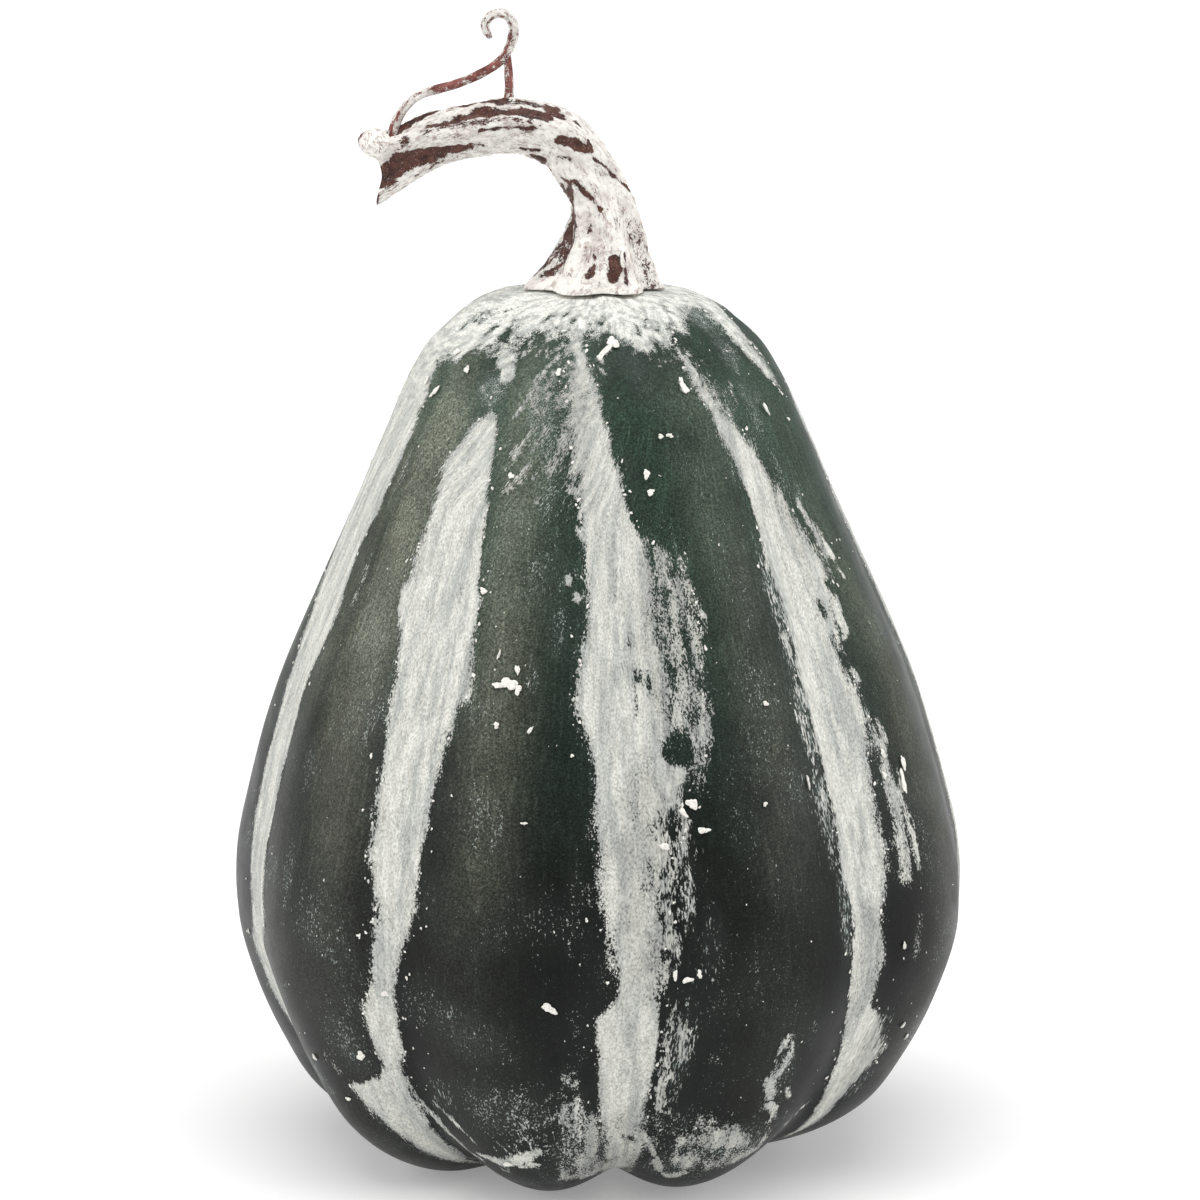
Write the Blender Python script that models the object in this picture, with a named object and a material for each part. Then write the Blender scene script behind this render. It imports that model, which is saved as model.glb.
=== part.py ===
"""A decorative cushaw squash: a ribbed, pear-shaped body and the moulded stem set on its crown.

Metres, +Z up. The body stands at Z = 0 on the undersides of its lobes, its axis is close to the Z axis, and
its front is towards -Y.
"""

from itertools import pairwise

import bmesh
import bpy
import numpy as np

TOUCH_GAP = 0.0003

# Body: the outline along a lobe's crest, from the crown's middle down to the blossom end (radius, height).
CREST_OUTLINE = (
    (0.0000, 0.3042),
    (0.0180, 0.3039),
    (0.0320, 0.3024),
    (0.0420, 0.2988),
    (0.0500, 0.2930),
    (0.0575, 0.2860),
    (0.0645, 0.2750),
    (0.0737, 0.2550),
    (0.0844, 0.2300),
    (0.0980, 0.2000),
    (0.1130, 0.1650),
    (0.1235, 0.1300),
    (0.1288, 0.1050),
    (0.1285, 0.0820),
    (0.1220, 0.0600),
    (0.1130, 0.0400),
    (0.1010, 0.0200),
    (0.0820, 0.0055),
    (0.0620, -0.0006),
    (0.0450, 0.0015),
    (0.0250, 0.0085),
    (0.0000, 0.0140),
)
BODY_RINGS = 37

# The body's middle wanders a little to either side of the Z axis (height, X).
BODY_SPINE = ((0.0, -0.0020), (0.045, -0.0006), (0.085, 0.0010), (0.15, -0.0004), (0.25, -0.0008), (0.30, -0.0022))

# The grooves between the nine lobes, in degrees from the front, positive towards +X.
GROOVES = (-74.0, -34.0, 6.0, 46.5, 86.5, 126.5, 166.5, 206.5, 246.5)
STEPS_PER_LOBE = 10
GROOVE_ROUNDING = 0.18
# Depth of a groove as a share of the radius (height, share).
GROOVE_DEPTH = (
    (0.000, 0.150),
    (0.015, 0.130),
    (0.040, 0.085),
    (0.080, 0.050),
    (0.120, 0.040),
    (0.170, 0.036),
    (0.220, 0.030),
    (0.260, 0.018),
    (0.288, 0.000),
)
# Underneath, the grooves rise off the ground, and so do some of the lobes.
GROOVE_RISE = 0.008
GROOVE_RISE_TOP = 0.040
GROOVE_RISE_RADIUS = 0.062
LOBE_LIFT = (0.0, 0.0, 0.0, 0.0075, 0.0025, 0.0, 0.0, 0.0, 0.0015)
LOBE_LIFT_TOP = 0.060

# The stem's peg and the blind socket for it in the crown.
PEG_RADIUS = 0.008
PEG_LENGTH = 0.012
SOCKET_RADIUS = PEG_RADIUS + TOUCH_GAP
SOCKET_DEPTH = PEG_LENGTH + 0.001

# Stem: the middle line of the post and arm, and the reach of the ridges from it (X, Z, reach).
STEM_LINE = (
    (-0.0022, 0.3042, 0.0245),
    (-0.0016, 0.3056, 0.0236),
    (-0.0006, 0.3081, 0.0214),
    (0.0003, 0.3123, 0.0190),
    (0.0010, 0.3171, 0.0165),
    (0.0014, 0.3230, 0.0144),
    (0.0013, 0.3286, 0.0127),
    (0.0000, 0.3348, 0.0115),
    (-0.0046, 0.3436, 0.0106),
    (-0.0134, 0.3546, 0.0106),
    (-0.0274, 0.3596, 0.0100),
    (-0.0411, 0.3587, 0.0097),
    (-0.0548, 0.3557, 0.0096),
    (-0.0675, 0.3497, 0.0101),
    (-0.0750, 0.3460, 0.0118),
)
STEM_RINGS = 34
STEM_STEPS = 42
UPRIGHT_HEIGHT = 0.020

# Six ridges, each given by its angle at five places along the stem: 0 is the outside of the bend, 90 the
# front, 180 the inside. They turn about the post as it bends over.
RIDGE_PLACES = (0.00, 0.22, 0.47, 0.75, 1.00)
RIDGES = (
    (0.0, 10.0, 60.0, 90.0, 28.0),
    (55.0, 90.0, 160.0, 165.0, 158.0),
    (108.0, 135.0, 205.0, 215.0, 205.0),
    (172.0, 200.0, 255.0, 265.0, 250.0),
    (235.0, 260.0, 305.0, 315.0, 295.0),
    (300.0, 320.0, 365.0, 375.0, 338.0),
)
RIDGE_SHARPNESS = 9.0
# Height of the ridges above the hollows between them, as a share of the reach (place, share).
RIDGE_HEIGHT = ((0.00, 0.34), (0.10, 0.30), (0.22, 0.20), (0.50, 0.20), (0.80, 0.26), (1.00, 0.42))

# The cut end: its ridges stand out as points, its face is hollow, slants under and falls away at the back.
END_POINTS = 0.0046
END_SLANT = 0.22
END_TURN = 0.32
END_START = 0.95
END_FACE = ((0.60, 0.0025), (0.25, 0.0045))

# The base follows the crown, and gapes a little more at the front.
FRONT_GAP = 0.0006
UNDERSIDE_SHARES = (0.78, 0.56)

# Tendril and strut, in the plane Y = 0 (X, Z, radius).
TENDRIL_LINE = (
    (-0.0712, 0.3530, 0.0021),
    (-0.0702, 0.3599, 0.0019),
    (-0.0682, 0.3638, 0.0018),
    (-0.0657, 0.3672, 0.0017),
    (-0.0611, 0.3704, 0.0017),
    (-0.0547, 0.3725, 0.0017),
    (-0.0487, 0.3742, 0.0017),
    (-0.0427, 0.3766, 0.0017),
    (-0.0376, 0.3793, 0.0017),
    (-0.0333, 0.3826, 0.0018),
    (-0.0309, 0.3865, 0.0019),
    (-0.0297, 0.3899, 0.0020),
    (-0.0294, 0.3933, 0.0020),
    (-0.0307, 0.3966, 0.0019),
    (-0.0341, 0.3982, 0.0018),
    (-0.0375, 0.3971, 0.0018),
    (-0.0392, 0.3942, 0.0017),
    (-0.0384, 0.3913, 0.0015),
    (-0.0370, 0.3897, 0.0012),
)
TENDRIL_POINTS = 52
STRUT_LINE = (
    (-0.0318, 0.3850, 0.0013),
    (-0.0313, 0.3790, 0.0016),
    (-0.0311, 0.3710, 0.0017),
    (-0.0311, 0.3660, 0.0023),
)

DEEP_GREEN = (0.035, 0.050, 0.040, 1.0)
WHITEWASHED_BROWN = (0.52, 0.44, 0.40, 1.0)


def clear_scene():
    for obj in list(bpy.data.objects):
        bpy.data.objects.remove(obj)


def painted(name, colour, roughness):
    material = bpy.data.materials.new(name)
    material.use_nodes = True
    shader = material.node_tree.nodes["Principled BSDF"]
    shader.inputs["Base Color"].default_value = colour
    shader.inputs["Roughness"].default_value = roughness
    shader.inputs["Metallic"].default_value = 0.0
    return material


def smooth_curve(points, steps=16):
    """A curve through the points, with each tangent weighted by the lengths of the spans beside it."""
    knots = np.asarray(points, float)
    knots = np.vstack([2 * knots[0] - knots[1], knots, 2 * knots[-1] - knots[-2]])
    share = np.linspace(0, 1, steps, endpoint=False)[:, None]
    spans = []
    for before, start, end, after in zip(knots, knots[1:], knots[2:], knots[3:]):
        left, span, right = (np.linalg.norm(step) for step in (start - before, end - start, after - end))
        leave = span * ((start - before) / left - (end - before) / (left + span)) + end - start
        arrive = end - start + span * ((after - end) / right - (after - start) / (span + right))
        spans.append(
            (2 * share**3 - 3 * share**2 + 1) * start
            + (share**3 - 2 * share**2 + share) * leave
            + (3 * share**2 - 2 * share**3) * end
            + (share**3 - share**2) * arrive
        )
    return np.vstack([*spans, knots[-2]])


def evenly_spaced(curve, count):
    """Points at equal distances along the curve, and how far along it each is, from 0 to 1."""
    lengths = np.concatenate([[0], np.cumsum(np.linalg.norm(np.diff(curve[:, :2], axis=0), axis=1))])
    places = np.linspace(0, 1, count)
    columns = [np.interp(places * lengths[-1], lengths, column) for column in curve.T]
    return np.stack(columns, axis=-1), places


def graph(points, at):
    """The broken line through the points, read at the given values."""
    xs, ys = np.asarray(points, float).T
    return np.interp(at, xs, ys)


def add_ring(mesh, points):
    return [mesh.verts.new(point) for point in points]


def join_rings(mesh, rings):
    """Walls between each ring and the next. The rings run the same way round."""
    for near, far in pairwise(rings):
        for i, vertex in enumerate(near):
            after = (i + 1) % len(near)
            mesh.faces.new((vertex, near[after], far[after], far[i]))


def close_ring(mesh, ring, centre):
    point = mesh.verts.new(centre)
    for i, vertex in enumerate(ring):
        mesh.faces.new((vertex, ring[(i + 1) % len(ring)], point))


def as_object(mesh, name, material):
    bmesh.ops.recalc_face_normals(mesh, faces=mesh.faces)
    data = bpy.data.meshes.new(name)
    mesh.to_mesh(data)
    mesh.free()
    data.materials.append(material)
    obj = bpy.data.objects.new(name, data)
    bpy.context.collection.objects.link(obj)
    return obj


def shade(obj, angle):
    obj.data.shade_smooth()
    obj.data.set_sharp_from_angle(angle=np.radians(angle))


def crown_height(radius):
    """Height of the body's crown at a distance from its middle."""
    crown = smooth_curve(CREST_OUTLINE[:6])
    return np.interp(radius, crown[:, 0], crown[:, 1])


def lobe_angles():
    """The azimuths of the rings' points, how far each stands out of the grooves, and its lobe's lift."""
    starts = np.radians(GROOVES)
    ends = np.append(starts[1:], starts[0] + 2 * np.pi)
    share = np.linspace(0, 1, STEPS_PER_LOBE, endpoint=False)
    angles = (starts[:, None] + (ends - starts)[:, None] * share).ravel()
    swell = np.sin(np.pi * share)
    full = np.sqrt((swell**2 + GROOVE_ROUNDING**2) / (1 + GROOVE_ROUNDING**2))
    return angles, np.tile(full, len(GROOVES)), np.outer(LOBE_LIFT, swell).ravel()


def body_ring(radius, height):
    """One ring round the body: the crest outline's radius, drawn in at the grooves."""
    angles, full, lift = lobe_angles()
    reach = radius * (1 - graph(GROOVE_DEPTH, height) * (1 - full))
    rise = GROOVE_RISE * (1 - full) * np.clip(1 - height / GROOVE_RISE_TOP, 0, 1.05) ** 1.5
    rise *= np.clip(radius / GROOVE_RISE_RADIUS, 0, 1) ** 2
    lifted = height + rise + lift * np.clip(1 - height / LOBE_LIFT_TOP, 0, 1) ** 1.5
    middle = graph(BODY_SPINE, lifted)
    return np.stack([middle + reach * np.sin(angles), -reach * np.cos(angles), lifted], axis=-1)


def build_body(material):
    mesh = bmesh.new()
    outline, _ = evenly_spaced(smooth_curve(CREST_OUTLINE), BODY_RINGS)
    outline = outline[outline[:, 0] > SOCKET_RADIUS]
    rim_height = crown_height(SOCKET_RADIUS)
    floor_height = rim_height - SOCKET_DEPTH
    floor = add_ring(mesh, body_ring(SOCKET_RADIUS, rim_height) - (0, 0, SOCKET_DEPTH))
    rings = [floor, add_ring(mesh, body_ring(SOCKET_RADIUS, rim_height))]
    rings += [add_ring(mesh, body_ring(radius, height)) for radius, height in outline]
    join_rings(mesh, rings)
    close_ring(mesh, floor, (graph(BODY_SPINE, rim_height), 0, floor_height))
    blossom_end = CREST_OUTLINE[-1][1]
    close_ring(mesh, rings[-1], (graph(BODY_SPINE, blossom_end), 0, blossom_end))
    flatten_feet(mesh)
    body = as_object(mesh, "squash_body", material)
    shade(body, 40)
    return body


def flatten_feet(mesh):
    """Cuts the lobes' undersides level with the ground, so that the body stands on small flats."""
    parts = mesh.verts[:] + mesh.edges[:] + mesh.faces[:]
    bmesh.ops.bisect_plane(mesh, geom=parts, dist=1e-6, plane_co=(0, 0, 0), plane_no=(0, 0, -1), clear_outer=True)
    rims = [edge for edge in mesh.edges if edge.is_boundary]
    bmesh.ops.holes_fill(mesh, edges=rims, sides=0)


def ridge_field(angles, place):
    """1 on the crest of a ridge, falling towards 0 in the hollows between."""
    field = 0.0
    for ridge in RIDGES:
        crest = np.radians(np.interp(place, RIDGE_PLACES, ridge))
        field = field + np.exp(4 * RIDGE_SHARPNESS * (np.cos(angles - crest) - 1))
    return np.clip(field, 0, 1) ** 0.25


def stem_rings():
    """Rings of points across the stem, from its base to the points of its cut end."""
    line, places = evenly_spaced(smooth_curve(STEM_LINE), STEM_RINGS)
    angles = np.linspace(0, 2 * np.pi, STEM_STEPS, endpoint=False)
    ahead = np.gradient(line[:, :2], axis=0)
    ahead[:, 0] *= np.clip((line[:, 1] - line[0, 1]) / UPRIGHT_HEIGHT, 0, 1)
    ahead /= np.linalg.norm(ahead, axis=1)[:, None]
    rings = []
    for (x, z, reach), place, (along_x, along_z) in zip(line, places, ahead):
        field = ridge_field(angles, place)
        radius = reach * (1 - graph(RIDGE_HEIGHT, place) * (1 - field))
        out = radius * np.cos(angles)
        front = radius * np.sin(angles)
        near_end = np.clip((place - END_START) / (1 - END_START), 0, 1)
        forward = near_end * (END_POINTS * field - END_SLANT * out + END_TURN * np.minimum(front, 0))
        rings.append(
            np.stack(
                [x + along_z * out + along_x * forward, -front, z - along_x * out + along_z * forward], axis=-1
            )
        )
    return rings, ahead[-1]


def resting(ring, middle):
    """The ring's points set down on the crown, with the gap to it opening towards the front."""
    flat = ring - middle
    radius = np.hypot(flat[:, 0], flat[:, 1])
    frontness = np.clip(-flat[:, 1] / radius, 0, 1) * np.clip(radius / STEM_LINE[0][2], 0, 1)
    height = crown_height(radius) + TOUCH_GAP + FRONT_GAP * frontness
    return np.stack([ring[:, 0], ring[:, 1], height], axis=-1)


def build_arm(material):
    """The ridged post and arm as one closed solid, with the peg below its base."""
    mesh = bmesh.new()
    rings, ahead = stem_rings()
    middle = np.array([STEM_LINE[0][0], 0, 0])
    rings[0] = resting(rings[0], middle)
    under = [resting(middle + (rings[0] - middle) * (share, share, 1), middle) for share in UNDERSIDE_SHARES]
    angles = np.linspace(0, 2 * np.pi, STEM_STEPS, endpoint=False)
    round_peg = middle + PEG_RADIUS * np.stack([np.cos(angles), -np.sin(angles), 0 * angles], axis=-1)
    peg_top = resting(round_peg, middle)
    peg_bottom = crown_height(SOCKET_RADIUS) - PEG_LENGTH
    peg_end = round_peg + (0, 0, peg_bottom)
    face = []
    centre = rings[-1].mean(axis=0)
    inward = np.array([ahead[0], 0, ahead[1]])
    for share, depth in END_FACE:
        face.append(centre + (rings[-1] - centre) * share - inward * depth)
    loops = [add_ring(mesh, ring) for ring in [peg_end, peg_top, *under[::-1], *rings, *face]]
    join_rings(mesh, loops)
    close_ring(mesh, loops[0], middle + (0, 0, peg_bottom))
    close_ring(mesh, loops[-1], centre - inward * END_FACE[-1][1])
    return as_object(mesh, "stem", material)


def build_rod(name, line, count, material):
    """A thin round rod through the points, as a bevelled curve made into a mesh."""
    points, _ = evenly_spaced(smooth_curve(line), count)
    curve = bpy.data.curves.new(name, "CURVE")
    curve.dimensions = "3D"
    curve.bevel_depth = 1.0
    curve.bevel_resolution = 2
    curve.use_fill_caps = True
    spline = curve.splines.new("POLY")
    spline.points.add(len(points) - 1)
    for point, (x, z, radius) in zip(spline.points, points):
        point.co = (x, 0, z, 1)
        point.radius = radius
    guide = bpy.data.objects.new(name + "_curve", curve)
    bpy.context.collection.objects.link(guide)
    bpy.context.view_layer.update()
    shape = bpy.data.meshes.new_from_object(guide.evaluated_get(bpy.context.evaluated_depsgraph_get()))
    bpy.data.objects.remove(guide)
    rod = bpy.data.objects.new(name, shape)
    bpy.context.collection.objects.link(rod)
    rod.data.materials.clear()
    rod.data.materials.append(material)
    return rod


def fuse(target, others):
    """Joins the others into the target as one solid, and removes them."""
    for other in others:
        union = target.modifiers.new(other.name, "BOOLEAN")
        union.operation = "UNION"
        union.object = other
    bpy.context.view_layer.update()
    joined = bpy.data.meshes.new_from_object(target.evaluated_get(bpy.context.evaluated_depsgraph_get()))
    target.modifiers.clear()
    target.data = joined
    for other in others:
        bpy.data.objects.remove(other)


def build_stem(material):
    stem = build_arm(material)
    tendril = build_rod("tendril", TENDRIL_LINE, TENDRIL_POINTS, material)
    strut = build_rod("strut", STRUT_LINE, len(STRUT_LINE), material)
    fuse(stem, [tendril, strut])
    shade(stem, 45)
    return stem


clear_scene()
build_body(painted("green_paint", DEEP_GREEN, 0.45))
build_stem(painted("whitewashed_resin", WHITEWASHED_BROWN, 0.75))
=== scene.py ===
"""Looks of a decorative cushaw squash: a whitewashed green body and a whitewashed brown stem.

Metres, +Z up, front towards -Y. Places on the body are given by how far down its skin they lie from the
crown's middle, and by their azimuth in degrees, 0 at the front and positive towards +X.
"""

import bpy
import numpy as np
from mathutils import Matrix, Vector


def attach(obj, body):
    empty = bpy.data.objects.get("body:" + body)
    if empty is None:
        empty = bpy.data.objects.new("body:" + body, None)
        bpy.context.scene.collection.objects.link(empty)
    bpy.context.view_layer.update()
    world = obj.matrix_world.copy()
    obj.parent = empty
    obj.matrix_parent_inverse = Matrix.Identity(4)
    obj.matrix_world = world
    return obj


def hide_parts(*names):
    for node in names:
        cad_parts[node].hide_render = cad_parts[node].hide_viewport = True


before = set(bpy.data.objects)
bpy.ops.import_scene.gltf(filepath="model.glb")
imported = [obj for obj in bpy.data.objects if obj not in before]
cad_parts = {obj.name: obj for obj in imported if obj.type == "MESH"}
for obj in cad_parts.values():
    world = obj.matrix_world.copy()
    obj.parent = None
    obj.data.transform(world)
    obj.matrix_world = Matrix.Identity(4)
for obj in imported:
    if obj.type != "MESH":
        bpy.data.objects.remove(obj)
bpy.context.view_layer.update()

MM = 0.001

# The photograph's view: a long lens, a little above the squash, looking down at its middle.
VIEW_TILT = np.radians(11.3)
VIEW_DISTANCE = 2.04
VIEW_HEIGHT = 0.1941
LENS = 175.92
FILM_WIDTH = 36.0

# Body: the outline along a lobe's crest (radius, height), as in the solids.
CREST_OUTLINE = (
    (0.0000, 0.3042),
    (0.0180, 0.3039),
    (0.0320, 0.3024),
    (0.0420, 0.2988),
    (0.0500, 0.2930),
    (0.0575, 0.2860),
    (0.0645, 0.2750),
    (0.0737, 0.2550),
    (0.0844, 0.2300),
    (0.0980, 0.2000),
    (0.1130, 0.1650),
    (0.1235, 0.1300),
    (0.1288, 0.1050),
    (0.1285, 0.0820),
    (0.1220, 0.0600),
    (0.1130, 0.0400),
    (0.1010, 0.0200),
    (0.0820, 0.0055),
    (0.0620, -0.0006),
    (0.0450, 0.0015),
    (0.0250, 0.0085),
    (0.0000, 0.0140),
)
BODY_SPINE = (
    (0.0, -0.0020),
    (0.045, -0.0006),
    (0.085, 0.0010),
    (0.15, -0.0004),
    (0.25, -0.0008),
    (0.30, -0.0022),
)
GROOVES = (-74.0, -34.0, 6.0, 46.5, 86.5, 126.5, 166.5, 206.5, 246.5)
GROOVE_ROUNDING = 0.18
GROOVE_DEPTH = (
    (0.000, 0.150),
    (0.015, 0.130),
    (0.040, 0.085),
    (0.080, 0.050),
    (0.120, 0.040),
    (0.170, 0.036),
    (0.220, 0.030),
    (0.260, 0.018),
    (0.288, 0.000),
)
GROOVE_RISE = 0.008
GROOVE_RISE_TOP = 0.040
GROOVE_RISE_RADIUS = 0.062
LOBE_LIFT = (0.0, 0.0, 0.0, 0.0075, 0.0025, 0.0, 0.0, 0.0, 0.0015)
LOBE_LIFT_TOP = 0.060
SOCKET_RADIUS = 0.0083
SOCKET_DEPTH = 0.013
COLUMNS_PER_LOBE = 46
BODY_ROWS = 228
# The skin is drawn in by this much, which leaves room inside the solids' box for the paint on it.
SKIN_INSET = 0.0003
# How far the skin wanders, and how thick the whitewash on it is: evenly, and in its lumps.
SKIN_WANDER = 0.00035
COAT_THICKNESS = 0.00012
COAT_LUMPS = 0.00022
# The broken widths below are multiplied by this.
BREAK_SCALE = 1.5

# Stripes of whitewash along the grooves: down (mm), left and right edge (degrees), and the width over
# which each edge breaks up (mm). Where the edges cross, the stripe has ended.
LEFT_STRIPE = (
    (72, -27.0, -37.0, 3.0, 3.0),
    (82, -33.0, -31.0, 3.0, 2.5),
    (88, -38.0, -29.5, 4.0, 1.5),
    (94, -40.7, -28.7, 3.0, 1.2),
    (100, -44.0, -28.9, 3.5, 1.2),
    (112, -43.8, -28.8, 2.5, 1.2),
    (125, -44.5, -27.6, 2.5, 1.2),
    (141, -44.5, -26.6, 3.0, 1.2),
    (146, -46.5, -25.6, 2.5, 1.2),
    (153, -45.2, -25.5, 1.8, 1.2),
    (159, -43.2, -25.5, 1.8, 2.0),
    (175, -41.0, -24.6, 1.8, 2.2),
    (181, -40.8, -24.8, 1.8, 3.0),
    (186, -40.5, -26.7, 1.8, 2.2),
    (199, -40.0, -27.2, 2.2, 1.8),
    (217, -39.4, -29.0, 2.2, 1.5),
    (237, -39.3, -29.8, 1.8, 1.5),
    (254, -37.3, -29.8, 3.0, 2.0),
    (266, -37.5, -32.6, 2.5, 2.5),
    (279, -38.3, -34.3, 1.5, 1.5),
    (290, -40.4, -35.0, 2.0, 1.2),
    (307, -40.7, -35.2, 1.5, 1.5),
    (315, -39.9, -37.2, 2.0, 1.5),
    (321, -42.0, -36.8, 2.0, 1.5),
    (326, -49.0, -36.4, 2.0, 1.5),
    (333, -47.3, -36.3, 2.5, 2.0),
    (341, -45.2, -36.0, 2.5, 2.0),
    (352, -42.8, -36.0, 2.5, 2.0),
    (370, -41.5, -37.0, 2.5, 2.0),
    (392, -37.0, -40.0, 2.5, 2.0),
)
CENTRE_STRIPE = (
    (44, -14.0, -3.5, 4.0, 3.0),
    (53, -9.7, -4.0, 3.0, 3.0),
    (61, -8.4, -2.8, 2.4, 2.0),
    (68, -8.8, 0.0, 2.8, 2.0),
    (78, -8.2, 1.6, 3.2, 2.0),
    (98, -6.2, 4.8, 3.0, 1.5),
    (118, -3.6, 7.9, 2.5, 1.5),
    (123, -3.2, 9.8, 2.5, 2.0),
    (128, -3.0, 14.5, 2.5, 2.5),
    (131, -3.0, 18.2, 2.5, 3.0),
    (139, -2.6, 18.8, 3.0, 3.0),
    (146, -2.0, 20.2, 2.5, 3.0),
    (154, -2.0, 19.6, 2.2, 3.0),
    (163, -3.0, 19.4, 2.0, 2.5),
    (180, -4.4, 19.2, 2.0, 2.2),
    (190, -2.4, 19.0, 2.5, 2.2),
    (198, -1.0, 18.2, 2.0, 2.5),
    (213, -0.6, 13.5, 2.5, 5.0),
    (226, -0.4, 11.5, 3.0, 7.0),
    (238, -0.2, 10.5, 4.0, 8.0),
    (255, 0.6, 10.0, 4.5, 8.0),
    (269, 2.4, 9.0, 3.0, 5.0),
    (278, 2.4, 8.9, 2.0, 1.4),
    (283, 0.3, 8.7, 1.8, 1.2),
    (288, -1.0, 8.8, 1.6, 1.0),
    (298, -0.3, 9.1, 1.4, 1.0),
    (310, -0.1, 8.8, 1.4, 1.0),
    (324, 0.3, 8.6, 1.6, 1.4),
    (335, 1.0, 8.9, 2.0, 1.4),
    (345, 1.5, 9.6, 2.5, 1.5),
    (356, 1.6, 9.4, 3.0, 1.5),
    (366, 1.6, 8.6, 3.0, 2.0),
    (385, 2.0, 8.0, 3.0, 3.0),
    (410, 8.0, 3.0, 4.0, 4.0),
)
RIGHT_STRIPE = (
    (50, 35.0, 30.0, 2.0, 3.0),
    (57, 31.4, 33.0, 2.0, 3.0),
    (66, 31.8, 35.5, 2.0, 4.0),
    (73, 32.9, 37.2, 2.0, 4.5),
    (81, 34.7, 39.5, 2.0, 4.5),
    (88, 36.0, 43.5, 1.8, 3.5),
    (95, 37.5, 46.5, 1.6, 3.0),
    (102, 39.6, 49.4, 1.6, 2.6),
    (109, 39.8, 51.0, 2.0, 3.0),
    (116, 40.8, 53.2, 1.2, 2.5),
    (130, 41.0, 55.7, 1.0, 3.5),
    (140, 41.4, 58.5, 1.0, 3.0),
    (147, 41.5, 59.0, 1.0, 3.0),
    (153, 42.0, 56.5, 1.0, 4.0),
    (168, 41.6, 54.8, 1.0, 4.0),
    (176, 41.1, 53.8, 1.0, 3.0),
    (192, 41.0, 55.0, 1.0, 2.5),
    (208, 41.4, 52.6, 1.0, 3.0),
    (223, 41.8, 51.8, 1.0, 4.0),
    (240, 41.7, 52.5, 1.0, 4.0),
    (250, 42.0, 50.8, 1.0, 3.0),
    (262, 42.8, 48.7, 1.2, 2.0),
    (277, 42.2, 49.8, 1.0, 2.5),
    (286, 42.6, 49.2, 1.0, 2.5),
    (295, 44.2, 50.3, 1.0, 2.0),
    (301, 45.3, 53.8, 1.2, 3.0),
    (309, 46.6, 56.0, 1.2, 3.4),
    (317, 48.0, 57.4, 1.2, 3.4),
    (325, 48.7, 56.8, 1.2, 3.0),
    (332, 49.5, 55.6, 1.2, 2.4),
    (341, 50.4, 54.4, 1.2, 1.5),
    (355, 51.5, 54.4, 1.2, 1.5),
    (385, 53.0, 50.0, 2.0, 2.0),
)
FAR_LEFT_STRIPE = (
    (45, -100.0, -60.0, 4.0, 4.0),
    (60, -89.0, -67.0, 4.0, 2.0),
    (79, -88.0, -61.5, 4.0, 1.2),
    (100, -90.0, -64.0, 4.0, 1.2),
    (123, -90.5, -65.8, 4.0, 1.2),
    (137, -89.0, -69.0, 4.0, 1.2),
    (148, -86.5, -67.5, 4.0, 1.5),
    (167, -82.5, -65.8, 3.0, 1.5),
    (185, -81.0, -68.7, 3.0, 1.5),
    (206, -79.0, -67.0, 2.5, 1.2),
    (232, -79.0, -68.2, 2.5, 1.2),
    (255, -77.5, -67.6, 2.5, 1.5),
    (270, -76.5, -67.2, 2.5, 2.5),
    (284, -79.0, -71.5, 3.0, 2.5),
    (310, -78.0, -73.0, 3.0, 3.0),
    (345, -72.0, -77.0, 3.0, 3.0),
)
SHOULDER_STREAK = (
    (38, 66.0, 100.0, 4.0, 4.0),
    (50, 65.0, 80.0, 2.0, 4.0),
    (61, 63.6, 72.0, 1.5, 5.0),
    (67, 65.6, 73.0, 1.5, 5.0),
    (74, 68.4, 73.5, 1.5, 4.0),
    (84, 77.0, 71.0, 2.0, 4.0),
)
FAR_RIGHT_STRIPE = (
    (78, 90.0, 84.0, 3.0, 3.0),
    (88, 84.0, 92.0, 2.5, 4.0),
    (100, 86.0, 96.0, 2.5, 4.0),
    (116, 88.0, 99.0, 3.0, 4.0),
    (150, 90.0, 100.0, 3.0, 4.0),
    (180, 91.0, 102.0, 2.0, 4.0),
    (206, 93.5, 103.0, 2.0, 3.0),
    (250, 93.0, 101.0, 3.0, 3.0),
    (290, 86.0, 95.0, 3.0, 3.0),
    (330, 84.0, 92.0, 3.0, 3.0),
    (365, 91.0, 84.0, 3.0, 3.0),
)
FRONT_STRIPES = (
    LEFT_STRIPE,
    CENTRE_STRIPE,
    RIGHT_STRIPE,
    FAR_LEFT_STRIPE,
    SHOULDER_STREAK,
    FAR_RIGHT_STRIPE,
)
# The four grooves behind get stripes of the same make: middle, mean half width (degrees), where each
# starts and ends (mm), and the seed of its wandering.
BACK_STRIPES = (
    (126.5, 8.0, 62, 365, 3),
    (166.5, 7.0, 84, 350, 5),
    (206.5, 9.0, 55, 372, 8),
    (246.5, 7.0, 74, 352, 13),
)

# Where the whitewash on the crown ends (azimuth, mm down).
CROWN_EDGE = (
    (-180, 50),
    (-150, 58),
    (-125, 51),
    (-105, 66),
    (-92, 72),
    (-85, 69),
    (-68, 63),
    (-60, 62),
    (-53, 60),
    (-44, 56),
    (-40, 51),
    (-32, 46),
    (-25, 47),
    (-14, 46),
    (-4, 49),
    (6, 46),
    (14, 50),
    (22, 52),
    (30, 50),
    (38, 46),
    (50, 38),
    (72, 35),
    (96, 42),
    (112, 55),
    (135, 47),
    (158, 60),
    (180, 50),
)
# The width over which that edge breaks up (mm).
CROWN_BREAK = 3.6
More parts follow.
